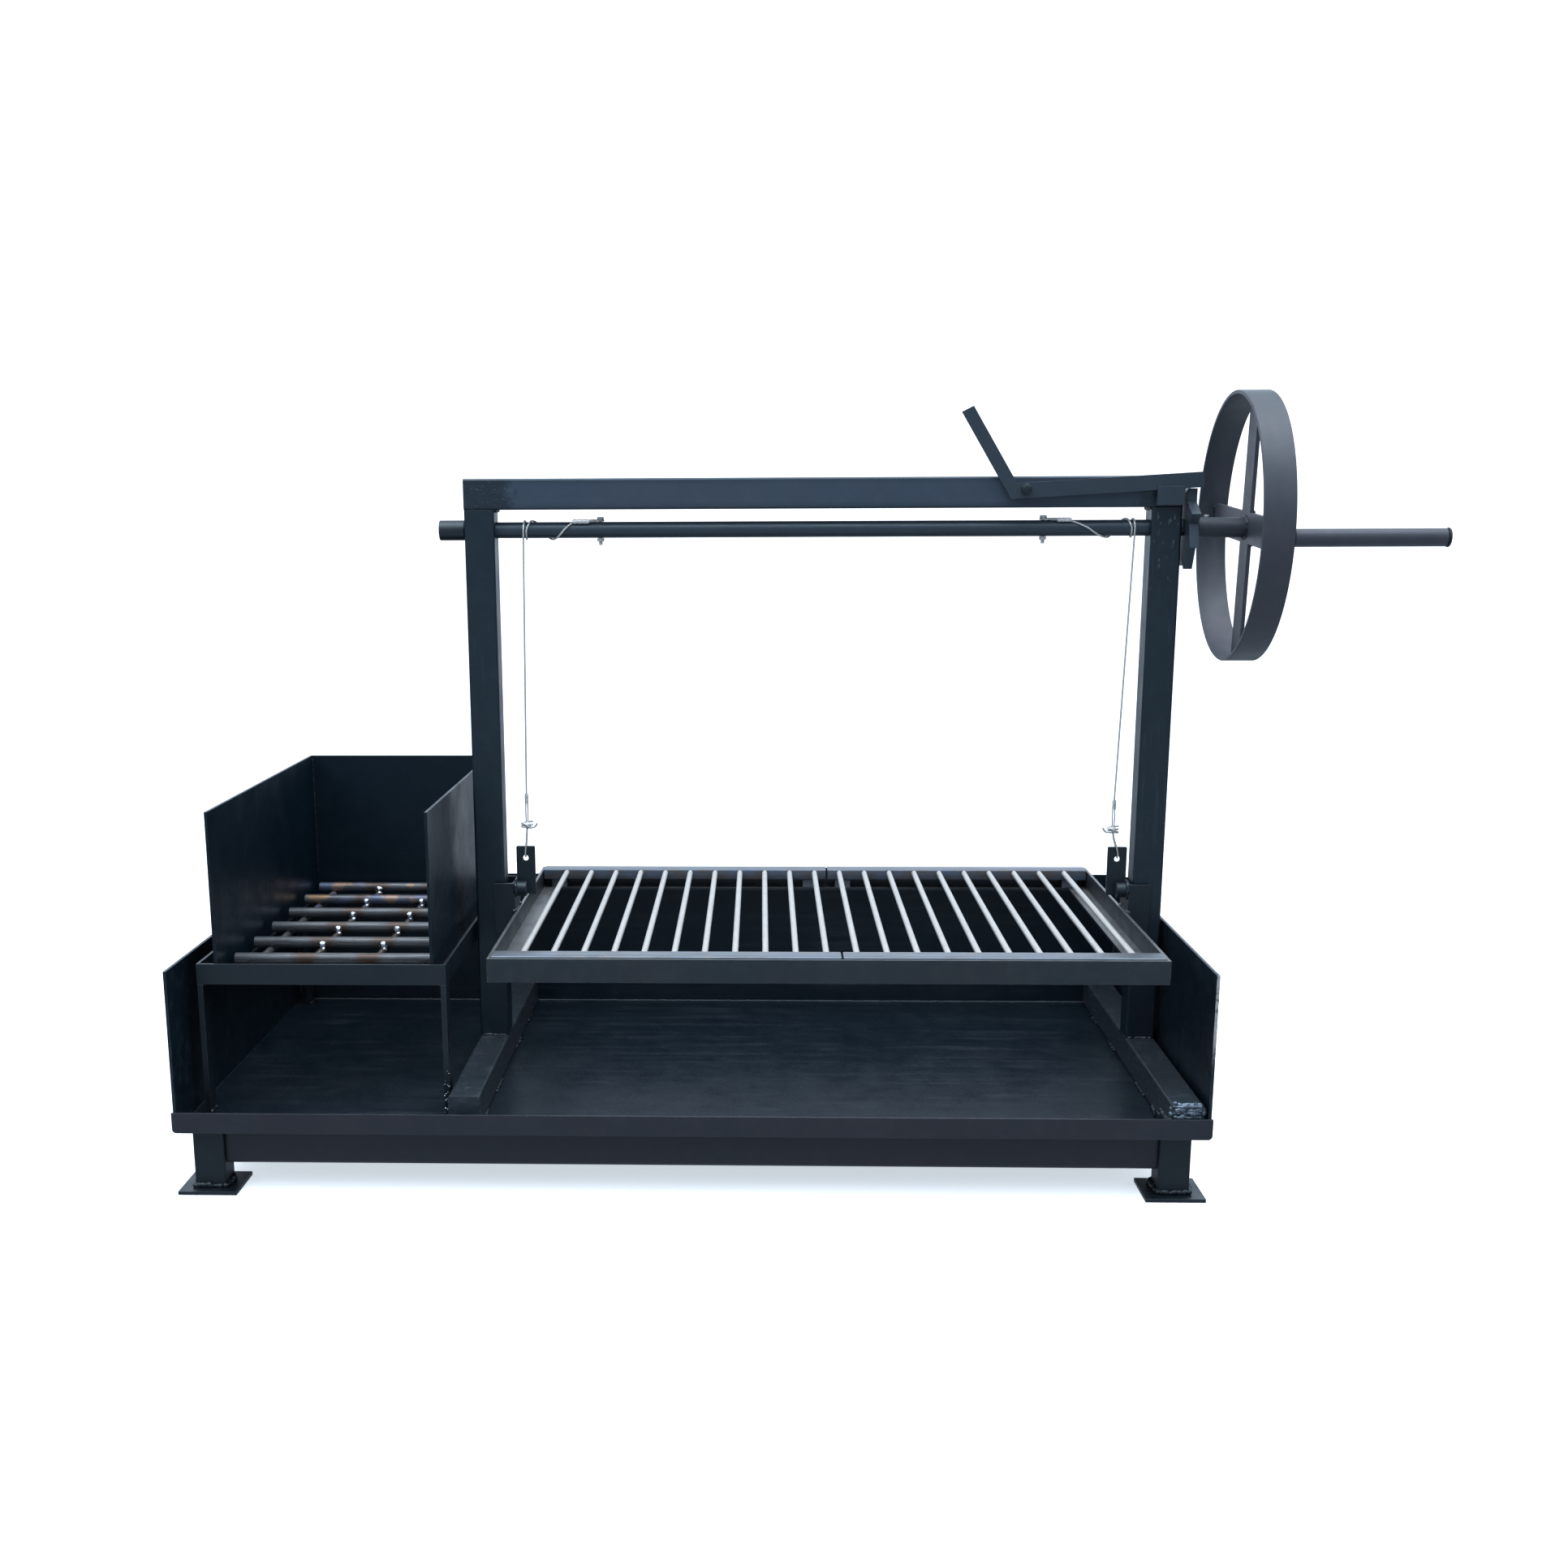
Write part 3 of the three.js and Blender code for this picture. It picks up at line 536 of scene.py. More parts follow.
def make_looks():
    return {
        "slate": paint("slate_paint", (0.0052, 0.0082, 0.0118), (0.0105, 0.0150, 0.0200), 0.38),
        "rail": paint("rail_paint", (0.0148, 0.0160, 0.0218), (0.0228, 0.0238, 0.0305), 0.40,
                      wear=0.25, hue=0.45, sheen=(0.88, 0.92, 1.0)),
        "post": paint("post_paint", (0.0036, 0.0096, 0.0160), (0.0080, 0.0170, 0.0260), 0.36,
                      extra=rubbed_streaks),
        # Painted highlight: a much lighter copy of the slate paint, for the light the beam catches from
        # above.
        "beam": paint("lit_beam_paint", (0.0300, 0.0450, 0.0700), (0.0380, 0.0560, 0.0840), 0.42,
                      extra=beam_shading, hue=0.25),
        # Painted highlight: a lighter copy of the slate paint, for the light that the shaft, pawl, keeper
        # and ratchet wheel catch.
        "lever": paint("lit_lever_paint", (0.0200, 0.0300, 0.0420), (0.0280, 0.0390, 0.0530), 0.40, hue=0.3),
        "arm": paint("brushed_on_paint", (0.0185, 0.0240, 0.0300), (0.0280, 0.0350, 0.0420), 0.42,
                     extra=brush_marks),
        "tray": paint("tray_paint", (0.0020, 0.0064, 0.0118), (0.0060, 0.0122, 0.0196), 0.38,
                      extra=rolled_marks, level=0.56),
        "box": paint("firebox_paint", (0.0016, 0.0066, 0.0126), (0.0048, 0.0114, 0.0190), 0.36, level=0.36),
        "satin": paint("satin_frame", (0.0150, 0.0185, 0.0225), (0.0270, 0.0310, 0.0350), 0.36,
                       wear=0.6, extra=lit_up_faces),
        "wheel": paint("wheel_paint", (0.0420, 0.0480, 0.0600), (0.0590, 0.0620, 0.0700), 0.44,
                       grain=0.7, hue=0.3, sheen=(0.92, 0.96, 1.0), level=0.40),
        "weld": paint("painted_weld", (0.0060, 0.0088, 0.0120), (0.0170, 0.0215, 0.0265), 0.30, grain=2.2),
        # Painted highlight: a much lighter copy of the tray's dark paint, for the light line along the
        # seams.
        "seam": paint("lit_tray_seam", (0.030, 0.040, 0.048), (0.060, 0.072, 0.082), 0.40, hue=0.2),
        "rods": steel("bright_rod", (0.44, 0.425, 0.40), (0.64, 0.625, 0.60), 0.42, (30, 1, 30), 26,
                      metal=0.5, stain=0.18),
        "rails": steel("brushed_rail", (0.085, 0.098, 0.118), (0.24, 0.265, 0.30), 0.36, (1, 60, 60), 14,
                       heat=burnt_ends, metal=0.55, grooves=(0.3490, 0.3665)),
        "bars": steel("fire_bar", (0.045, 0.050, 0.056), (0.17, 0.18, 0.19), 0.34, (1, 30, 30), 20,
                      heat=rust_and_heat, metal=0.55),
        "bright_weld": steel("bright_weld", (0.42, 0.47, 0.55), (0.86, 0.90, 0.95), 0.2, scale=420),
        # Near-black raw weld; its pale blue-grey patches are painted highlights standing in for glints on
        # the weld.
        "raw_weld_and_glints": steel("raw_weld_and_glints", (0.010, 0.015, 0.022), (0.20, 0.26, 0.33), 0.30, scale=120, metal=0.6),
        "wire": steel("galvanised_wire", (0.33, 0.33, 0.33), (0.88, 0.88, 0.87), 0.34, scale=900, metal=0.5),
        "ferrule": steel("aluminium", (0.62, 0.62, 0.62), (0.88, 0.88, 0.87), 0.34, scale=300, metal=0.5),
        "zinc": steel("zinc_plate", (0.42, 0.43, 0.42), (0.76, 0.76, 0.74), 0.3, scale=260, metal=0.5),
        "plastic": paint("black_cap", (0.010, 0.010, 0.011), (0.016, 0.016, 0.017), 0.5,
                         wear=0.0, grain=0.4),
    }


LOOKS = make_looks()
SLOTS = {
    **dict.fromkeys(("slate", "lever", "weld"), "painted_slate"),
    **dict.fromkeys(("seam", "plastic"), "painted_dark"),
    **dict.fromkeys(("rods", "rails"), "brushed_steel"),
    **dict.fromkeys(("bars", "bright_weld", "raw_weld_and_glints"), "raw_steel"),
    **dict.fromkeys(("wire", "ferrule"), "galvanised_cable"),
    "wheel": "painted_brown",
    "zinc": "zinc",
}
CAD_LOOKS = {
    "beam": ("top_beam",),
    "lever": ("pawl_lever", "pawl_keeper", "ratchet_wheel"),
    "rail": ("tray_front_lip",) + tuple(f"under_rail_{k}" for k in AROUND),
    "post": ("post_left", "post_right"),
    "tray": ("tray_shell", "tray_back_wall"),
    "arm": ("arm_left", "arm_right"),
    "box": ("firebox_wall_left", "firebox_wall_right", "firebox_wall_back"),
    "satin": tuple(f"grate_angle_{k}" for k in AROUND),
    "wheel": ("wheel_spokes",),
}


def dress_cad():
    """Every CAD node that stays visible gets its own finish; the rest are the slate paint."""
    look_of = {node: look for look, nodes in CAD_LOOKS.items() for node in nodes}
    for name, obj in NODES.items():
        obj.data.materials.clear()
        obj.data.materials.append(LOOKS[look_of.get(name, "slate")])


# Shaft and wheel.
def build_shaft():
    low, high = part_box("lift_shaft")
    profile = rod_profile(0, high.x - low.x, SHAFT_R, 0.0008)
    turned("round_shaft", "lever", "crank", (low.x, 0, SHAFT.z), profile, 64, node="lift_shaft")
    for name, look in (("shaft_end_collar", "slate"), ("wheel_hub", "wheel")):
        low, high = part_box(name)
        profile = tube_profile(0, high.x - low.x, 0.0167, 0.01375, 0.0007)
        turned(f"round_{name}", look, "crank", (low.x, 0, SHAFT.z), profile, 64, tube=True, node=name)


def wheel_point(x, along, up):
    """A point in the plane of the wheel, which is turned a little on its shaft."""
    c, s = cos(WHEEL_TURN), sin(WHEEL_TURN)
    return (x, along * c - up * s, SHAFT.z + along * s + up * c)


def build_wheel():
    low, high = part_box("wheel_rim")
    profile = tube_profile(0, high.x - low.x, 0.2203, 0.2143, 0.0008)
    turned("round_rim", "wheel", "crank", (low.x, 0, SHAFT.z), profile, 160, tube=True, node="wheel_rim")
    low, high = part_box("wheel_spokes")
    beads = Shell()
    for k in range(4):
        a = k * pi / 2
        out, side = np.array([cos(a), sin(a)]), np.array([-sin(a), cos(a)])
        for x, seed in ((low.x, 0), (high.x, 10)):
            ends = [out * 0.2138 + side * w for w in (-0.022, 0.0, 0.022)]
            bead(beads, [wheel_point(x, *p) for p in ends], 0.0021, 40 + k + seed)
    ring = ring_points(low.x - 0.0004, 0.0172, 0, SHAFT.z)
    bead(beads, ring, 0.0026, 51, closed=True, lumps=0.5)
    for k in range(4):
        a = (k + 0.5) * pi / 2
        spot = np.array([cos(a), sin(a)]) * 0.036
        blob(beads, wheel_point(high.x + 0.0004, *spot), (0.0022, 0.0042, 0.0042), 60 + k)
    beads.done("wheel_welds", "weld", "crank")


def build_handle():
    at = (GRIP.y, GRIP.z)
    low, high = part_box("handle_rod")
    profile = rod_profile(0, high.x - low.x, 0.0095, 0.0005)
    turned("round_handle_rod", "wheel", "crank", (low.x, *at), profile, 40, node="handle_rod")
    low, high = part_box("handle_grip")
    profile = tube_profile(0, high.x - low.x, 0.014, 0.0102, 0.0012)
    turned("round_handle_grip", "wheel", "handle_grip", (low.x, *at), profile, 56, tube=True,
           node="handle_grip")
    low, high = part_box("handle_end_cap")
    thick = high.x - low.x
    dome = [(0, 0.0146), (0.0004, 0.015), (thick * 0.6, 0.015), (thick * 0.86, 0.0143), (thick, 0.0120),
            (thick, 0.0086), (thick * 0.92, 0.0080)]
    turned("domed_end_cap", "plastic", "crank", (low.x, *at), dome, 56, node="handle_end_cap")


def build_ratchet_details():
    beads = Shell()
    ring = ring_points(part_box("ratchet_wheel")[1].x + 0.0006, 0.0178, 0, SHAFT.z)
    bead(beads, ring, 0.0024, 71, closed=True, lumps=0.4)
    beads.done("ratchet_weld", "bright_weld", "crank")
    screw = mid("hub_set_screw")
    low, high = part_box("hub_set_screw")
    top = high.z - low.z
    profile = [(0, 0.0032), (0.0006, 0.004), (top - 0.0006, 0.004), (top, 0.0034), (top, 0.002),
               (top - 0.0026, 0.0019)]
    turned("socket_set_screw", "zinc", "crank", (screw.x, 0, low.z), profile, 24, "z", node="hub_set_screw")


# Bolts.
def hexagon(shell, axis, centre, start, end, across, dome=0.0008):
    """Hexagon head or nut with a rounded top: a six-sided stack whose ends are drawn in."""
    radius = across / sqrt(3)
    turn(shell, axis, centre, [
        (start, radius * 0.94), (start + dome * 0.4, radius), (end - dome, radius), (end, radius * 0.86)], 6)


def build_anchor_bolts():
    for side, _ in SIDES:
        name = f"cable_anchor_bolt_{side}"
        low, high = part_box(name)
        x = mid(name).x
        head = high.z - 0.0034
        washer = rod_profile(0, 0.0012, 0.0062, 0.0002)
        shell = Shell()
        turn(shell, "z", (x, 0, low.z), rod_profile(0, head - low.z + 0.001, 0.003, 0.0006), 24)
        for ridge in np.arange(0.0006, 0.0062, 0.0008):
            turn(shell, "z", (x, 0, low.z + ridge), [(0, 0.0028), (0.0003, 0.00325), (0.0006, 0.0028)], 24)
        hexagon(shell, "z", (x, 0, 0), head, high.z, 0.0102)
        turn(shell, "z", (x, 0, head - 0.0012), washer, 32)
        nut = SHAFT.z - 0.0137
        hexagon(shell, "z", (x, 0, 0), nut - 0.0056, nut - 0.0012, 0.0102, dome=0.0004)
        turn(shell, "z", (x, 0, nut - 0.0012), washer, 32)
        shell.done(f"hex_{name}", "zinc", "crank", stands_for=name)


def build_pivot_bolt():
    low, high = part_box("pawl_pivot_bolt")
    at = (PIVOT.x, 0, PIVOT.z)
    lever_low, lever_high = -0.0384, -0.0324
    beam_face = -TUBE / 2
    shell = Shell()
    hexagon(shell, "y", at, low.y, lever_low - 0.0019, 0.0150)
    turn(shell, "y", at, rod_profile(lever_low - 0.0019, lever_low - 0.0003, 0.0089, 0.0003), 40)
    turn(shell, "y", at, rod_profile(lever_low - 0.001, high.y, 0.0048, 0.0004), 32)
    turn(shell, "y", at, rod_profile(lever_high + 0.0003, beam_face, 0.008, 0.0003), 40)
    shell.done("hex_pivot_bolt", "slate", "frame", stands_for="pawl_pivot_bolt")


# Cables. The routes repeat the points of the CAD part, in metres from the beam's middle.
DROP = {"left": -0.4998, "right": 0.5229}
KNOT = {"left": (-0.5075, 0.5408, 0.596), "right": (0.512, 0.5335, 0.586)}
COIL = {
    "left": ((-0.4998, -0.4946, -0.486, -0.470, -0.452, -0.431, -0.417), (-0.417, -0.388)),
    "right": ((0.5229, 0.5175, 0.510, 0.496, 0.480, 0.446, 0.418), (0.418, 0.394)),
}
COIL_TURNS = (0, 360, 450, 540, 630, 720, 770)
WIND = 0.0152
FERRULE_RIDE = 0.0178
FERRULE_AT = radians(40)

# The hanger plates and their bosses on the carriage.
GRATE_SHIFT = 0.0050
HANGER_X = 0.5163
HANGER_Y = -0.0055
HANGER_HOLE_Z = 0.482
BOSS_Y = -0.0209
BOSS_Z = 0.430


def hanger_x(sign):
    return ORIGIN_X + (GRATE_SHIFT + sign * HANGER_X)


def build_hanging_cable(side):
    knot_x, _, top = KNOT[side]
    start = Vector((ORIGIN_X + DROP[side], -WIND, SHAFT.z))
    end = Vector((ORIGIN_X + knot_x, HANGER_Y, top - 0.0005))
    shell = Shell()
    rope(shell, [start, start.lerp(end, 0.5), end])
    strand = shell.done(f"hanging_rope_{side}", "wire", None, stands_for=f"lift_cable_{side}")
    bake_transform(strand)


def build_coil(side, sign):
    xs, (f0, f1) = COIL[side]
    points = []
    for wound in np.linspace(0, COIL_TURNS[-1], 64):
        a = radians(wound)
        x = ORIGIN_X + float(np.interp(wound, COIL_TURNS, xs))
        points.append((x, -WIND * cos(a), SHAFT.z + WIND * sin(a)))
    fy, fz = -FERRULE_RIDE * sin(FERRULE_AT), FERRULE_RIDE * cos(FERRULE_AT)
    points.append((ORIGIN_X + f0 - sign * 0.006, fy, SHAFT.z + fz))
    shell = Shell()
    rope(shell, points)
    bolt = mid(f"cable_anchor_bolt_{side}").x
    top = SHAFT.z + SHAFT_R + ROPE_R + 0.0003
    wide = 0.003 + ROPE_R + 0.0008
    end = ORIGIN_X + f1
    rope(shell, [
        (end + sign * 0.005, fy, SHAFT.z + fz), (end - sign * 0.003, fy + 0.0006, SHAFT.z + fz + 0.0008),
        (bolt + sign * 0.007, -0.0072, top - 0.0003), (bolt, -wide, top), (bolt - sign * wide, 0, top),
        (bolt, wide, top), (bolt + sign * 0.0065, 0.003, top + 0.0004),
        (end - sign * 0.003, -0.0066, top + 0.0005),
        (end + sign * 0.005, fy + 0.0012, SHAFT.z + fz + 0.0012),
    ])
    shell.done(f"wound_rope_{side}", "wire", "crank", stands_for=f"cable_coil_{side}")
    low, high = sorted((ORIGIN_X + f0, ORIGIN_X + f1))
    waves = []
    for s in np.linspace(0, 1, 41):
        crimp = 0.0034 + 0.0005 * abs(sin(3.5 * pi * s))
        waves.append((s * (high - low), crimp if 0.03 < s < 0.97 else 0.0029))
    turned(f"crimped_ferrule_{side}", "ferrule", "crank", (low, fy, SHAFT.z + fz), waves, 28)


def build_knot(side, sign):
    """Loop through the hanger, a tight overhand knot, the doubled end and its wire whipping."""
    knot_x, knot_z, top = KNOT[side]
    plane = HANGER_Y
    x = ORIGIN_X + knot_x
    hole_x = hanger_x(sign)
    hole_z = HANGER_HOLE_Z
    out = 0.0061
    off = x - hole_x

    def at(du, dy, z):
        return (hole_x + du, plane + dy, z)

    shell = Shell()
    rope(shell, [
        at(off, 0, knot_z), at(off * 0.8, -0.8 * out, knot_z - 0.014), at(off * 0.3, -out, hole_z + 0.022),
        at(0, -out, hole_z + 0.010), at(0, -out, hole_z + 0.005), at(0, -out / 2, hole_z + 0.0022),
        at(0, out / 2, hole_z + 0.0022), at(0, out, hole_z + 0.005), at(0, out, hole_z + 0.010),
        at(off * 0.3, out, hole_z + 0.022), at(off * 0.8, 0.8 * out, knot_z - 0.014),
        at(off, 0.0002, knot_z),
    ], radius=0.0013)
    wrap = []
    wound = 2.25 * 2 * pi
    for a in np.linspace(0, wound, 40):
        share = a / wound
        r = 0.0056 + 0.0010 * sin(2 * a)
        wrap.append((x + r * cos(a) * 1.55, plane + r * sin(a), knot_z + 0.0055 - 0.0115 * share))
    tail = [(x - sign * d, plane - 0.003 - d * 0.1, knot_z + z) for d, z in
            ((0.008, -0.004), (0.0125, -0.0035), (0.0155, -0.001), (0.0185, 0.0035))]
    rope(shell, wrap + tail, radius=0.0019)
    for shift, lean in ((-0.0015, 0.0), (0.0015, 0.0005)):
        rope(shell, [
            (x + shift, plane + lean, knot_z - 0.002), (x + shift * 1.2, plane - lean, (knot_z + top) / 2),
            (x + shift * 0.6, plane + lean, top - 0.002), (x + shift * 0.4, plane, top + 0.0005),
        ], radius=0.0013)
    rope(shell, [
        (x - 0.006, plane - 0.004, knot_z + 0.004), (x, plane - 0.0075, knot_z),
        (x + 0.007, plane - 0.003, knot_z - 0.005), (x + 0.004, plane + 0.004, knot_z - 0.002),
    ], radius=0.0019)
    blob(shell, (x, plane, knot_z), (0.0062, 0.0046, 0.0052), 5)
    shell.done(f"tied_knot_{side}", "wire", "carriage", stands_for=f"cable_knot_{side}")
    turns = 11
    whipping = []
    for a in np.linspace(0, 2 * pi * turns, turns * 12):
        z = top - 0.0170 + 0.0155 * a / (2 * pi * turns)
        whipping.append((x + 0.0031 * cos(a), plane + 0.0024 * sin(a), z))
    wire = Shell()
    angles = angles_round(6)
    round_wire = np.stack([0.0006 * np.cos(angles), 0.0006 * np.sin(angles)], axis=1)
    sweep(wire, np.array(whipping), lambda i: round_wire)
    wire.done(f"whipping_{side}", "wire", "carriage")


# Grate carriage.
ROD_PITCH = 0.0483
FIRST_ROD = GRATE_SHIFT - 0.482
LEFT_RODS = 11
RIGHT_RODS = 10


def build_panel(side, first, count):
    name = f"grill_panel_{side}"
    low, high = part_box(name)
    rail, foot_top = 0.038, high.z - 0.020
    rails, feet, rods, nubs = Shell(), Shell(), Shell(), Shell()
    rod_z = high.z - 0.0058
    for _, sign in DEPTHS:
        y0, y1 = sorted((sign * high.y, sign * (high.y - rail)))
        slab(rails, (low.x, y0, foot_top), (high.x, y1, high.z), 0.0022, "x")
        for x in (low.x + 0.030, high.x - 0.030):
            centre = sign * (high.y - 0.018)
            slab(feet, (x - 0.015, centre - 0.012, low.z), (x + 0.015, centre + 0.012, foot_top), 0.001, "z")
    inner = high.y - rail
    for k in range(count):
        x = ORIGIN_X + first + k * ROD_PITCH
        turn(rods, "y", (x, 0, rod_z), rod_profile(-inner - 0.0004, inner + 0.0004, 0.005, 0.0003), 24)
        for _, sign in DEPTHS:
            at = (x - 0.0022, sign * (inner - 0.0006), rod_z + 0.0030)
            blob(nubs, at, (0.0036, 0.0018, 0.0022), 80 + k)
    rails.done(f"{name}_rails", "rails", name, stands_for=name)
    feet.done(f"{name}_feet", "rails", name)
    rods.done(f"{name}_rods", "rods", name)
    nubs.done(f"{name}_weld_spots", "weld", name)


def build_carriage_welds():
    beads = Shell()
    for side, sign in SIDES:
        shoe_low, shoe_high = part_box(f"guide_shoe_{side}")
        web = shoe_high.x if sign < 0 else shoe_low.x
        frame_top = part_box(f"grate_angle_{side}")[1].z
        for y in (-0.031, 0.029):
            blob(beads, (web + 0.002 * sign, y, frame_top + 0.001), (0.005, 0.008, 0.0045), 90 + sign)
        ring = ring_points(web - 0.0006 * sign, 0.0136, BOSS_Y, BOSS_Z)
        bead(beads, ring, 0.0030, 95 + sign, closed=True, lumps=0.5)
    beads.done("carriage_welds", "weld", "carriage")


def build_boss():
    """Round stubs and the flat, holed hanger plates, with truly round edges."""
    for side, sign in SIDES:
        name = f"cable_hanger_{side}"
        centre_x = hanger_x(sign)
        half, z0, z1, cut = 0.0165, 0.418, 0.503, 0.0012
        outline = [(-half, z0), (half, z0), (half, z1 - cut),
                   (half - cut, z1), (-half + cut, z1), (-half, z1 - cut)]
        plate = holed_plate(outline, (0.0, HANGER_HOLE_Z), 0.005, centre_x, -0.0080, -0.0030)
        plate.done(f"flat_{name}", "slate", "carriage", stands_for=name, crease=30)
        start, end = sorted(centre_x + sign * (reach - HANGER_X) for reach in (0.514, 0.5334))
        stub = rod_profile(0, end - start, 0.0133, 0.0012)
        turned(f"round_boss_{side}", "slate", "carriage", (start, BOSS_Y, BOSS_Z), stub, 40)


def holed_plate(outline, hole, radius, x, front, back):
    """Flat plate facing the front with one round hole: outline and hole rings joined by a fan of quads."""
    count, per_edge = len(outline), 8
    rim = []
    for i in range(count):
        a, b = np.array(outline[i]), np.array(outline[(i + 1) % count])
        rim.extend(a + (b - a) * t for t in np.linspace(0, 1, per_edge, endpoint=False))
    rim = np.array(rim)
    angles = np.arctan2(rim[:, 1] - hole[1], rim[:, 0] - hole[0])
    bore = np.stack([hole[0] + radius * np.cos(angles), hole[1] + radius * np.sin(angles)], axis=1)
    shell = Shell()
    loops = [(bore, front), (rim, front), (rim, back), (bore, back)]
    shell.rings([[(x + p[0], y, p[1]) for p in loop] for loop, y in loops], closed=True)
    return shell


# Frame welds.
def square_loop(x, y, z, half, corner=0.006):
    c = half - corner
    return [
        (x - c, y - half, z), (x + c, y - half, z), (x + half, y - c, z), (x + half, y + c, z),
        (x + c, y + half, z), (x - c, y + half, z), (x - half, y + c, z), (x - half, y - c, z)]


def build_frame_welds():
    beads = Shell()
    half = TUBE / 2
    for side, sign in SIDES:
        x = mid(f"post_{side}").x
        base, top = (end.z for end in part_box(f"post_{side}"))
        across = (-0.022, 0, 0.022)
        for y in (-half - 0.0006, half + 0.0006):
            bead(beads, [(x + t, y, base + 0.0002) for t in across], 0.0030, 100 + sign, lumps=0.4)
        for face in (x - half, x + half):
            bead(beads, [(face, t, base + 0.0008) for t in across], 0.0017, 104 + sign, lumps=0.1)
        corner = [(x - sign * half, t, top - 0.0004) for t in (-0.023, 0, 0.023)]
        bead(beads, corner, 0.0034, 108 + sign, lumps=0.5)
        for depth, way in DEPTHS:
            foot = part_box(f"foot_plate_{depth}_{side}")[1].z
            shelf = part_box(f"leg_{depth}_{side}")[1].z
            leg = mid(f"leg_{depth}_{side}")
            loop = square_loop(leg.x, leg.y, foot + 0.0036, half + 0.0008)
            bead(beads, loop, 0.0048, 120 + 3 * sign + way, closed=True, lumps=0.6, wander=0.3)
            seam = [(leg.x + t, leg.y + way * half, shelf - 0.0006) for t in (-0.02, 0.02)]
            bead(beads, seam, 0.0016, 130 + sign + way)
        arm_low, arm_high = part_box(f"arm_{side}")
        for x in (arm_low.x - 0.0004, arm_high.x + 0.0004):
            for start in (-0.36, -0.20, 0.06, 0.24):
                run = [(x, start + t, arm_low.z + 0.0012) for t in (0, 0.035, 0.07)]
                bead(beads, run, 0.0030, 140 + int(100 * (start + 1)) + sign, lumps=0.5)
    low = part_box("arm_right")[0]
    for row in range(3):
        z = low.z + 0.004 + 0.007 * row
        run = [(low.x - 0.0006, low.y + t, z) for t in (0.004, 0.06, 0.13 - 0.03 * row)]
        bead(beads, run, 0.0040, 162 + row, lumps=0.8, wander=0.6)
    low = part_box("arm_left")[0]
    run = [(low.x + t, low.y - 0.0004, low.z + 0.0012) for t in (0.004, 0.025, 0.046)]
    bead(beads, run, 0.0028, 160, lumps=0.5)
    beads.done("frame_welds", "weld", "frame")


def build_tray_seams():
    """Welded seams where the tray floor and walls meet the back wall and the lip."""
    low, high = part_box("tray_shell")
    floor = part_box("arm_left")[0].z
    beads = Shell()
    along = (low.x + 0.012, ORIGIN_X, high.x - 0.012)
    bead(beads, [(x, high.y - 0.0006, floor + 0.0006) for x in along], 0.0020, 190, lumps=0.15)
    bead(beads, [(x, low.y + 0.0006, floor + 0.0004) for x in along], 0.0016, 191, lumps=0.15)
    for x, seed in ((low.x + 0.0050, 192), (high.x - 0.0050, 193)):
        bead(beads, [(x, high.y - 0.0006, z) for z in (floor + 0.012, 0.24, high.z - 0.004)], 0.0018, seed)
    beads.done("tray_seams", "seam", "frame")


def build_bright_arm_end():
    """The right arm's front end is closed by rough, unpainted runs of weld."""
    low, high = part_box("arm_right")
    beads = Shell()
    rows = 9
    for k in range(rows):
        z = low.z + 0.003 + (high.z - low.z - 0.006) * k / (rows - 1)
        run = [(low.x + t, low.y - 0.0004, z) for t in (0.003, 0.015, 0.034, 0.048)]
        bead(beads, run, 0.0030, 170 + k, lumps=0.6, wander=0.45)
    rim = [(low.x + t, low.y + 0.002, high.z - 0.0006) for t in (0.001, 0.025, 0.050)]
    bead(beads, rim, 0.0036, 181, lumps=0.7, wander=0.5)
    for x, seed in ((low.x, 182), (high.x, 183)):
        bead(beads, [(x, low.y + 0.003, low.z + t) for t in (0.004, 0.025, 0.047)], 0.0032, seed, lumps=0.6)
    beads.done("bright_arm_end", "raw_weld_and_glints", "frame")


# Firebox.
def build_fire_grate():
    low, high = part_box("firebox_grate")
    base = low.z
    runner_r, bar_r = 0.0065, 0.0095
    runners = [ORIGIN_X + x for x in FIRE_RUNNERS]
    bar_z = high.z - bar_r
    shell = Shell()
    for x in runners:
        turn(shell, "y", (x, 0, base + runner_r), rod_profile(low.y, high.y, runner_r, 0.0006), 28)
    for y in FIRE_BARS:
        turn(shell, "x", (0, y, bar_z), rod_profile(low.x, high.x, bar_r, 0.0007), 36)
    shell.done("fire_bars", "bars", "frame", stands_for="firebox_grate")
    drops = Shell()
    for i, x in enumerate(runners[1:3]):
        for j, y in enumerate(FIRE_BARS[1:]):
            at = (x + 0.001, y - 0.0112, bar_z - 0.0030)
            blob(drops, at, (0.0078, 0.0062, 0.0078), 200 + 10 * i + j, rows=9, around=16, rough=0.07)
            under = (at[0] + 0.002, at[1] - 0.003, at[2] - 0.006)
            blob(drops, under, (0.0052, 0.0044, 0.0040), 230 + 10 * i + j)
    drops.done("fire_bar_welds", "bright_weld", "frame")


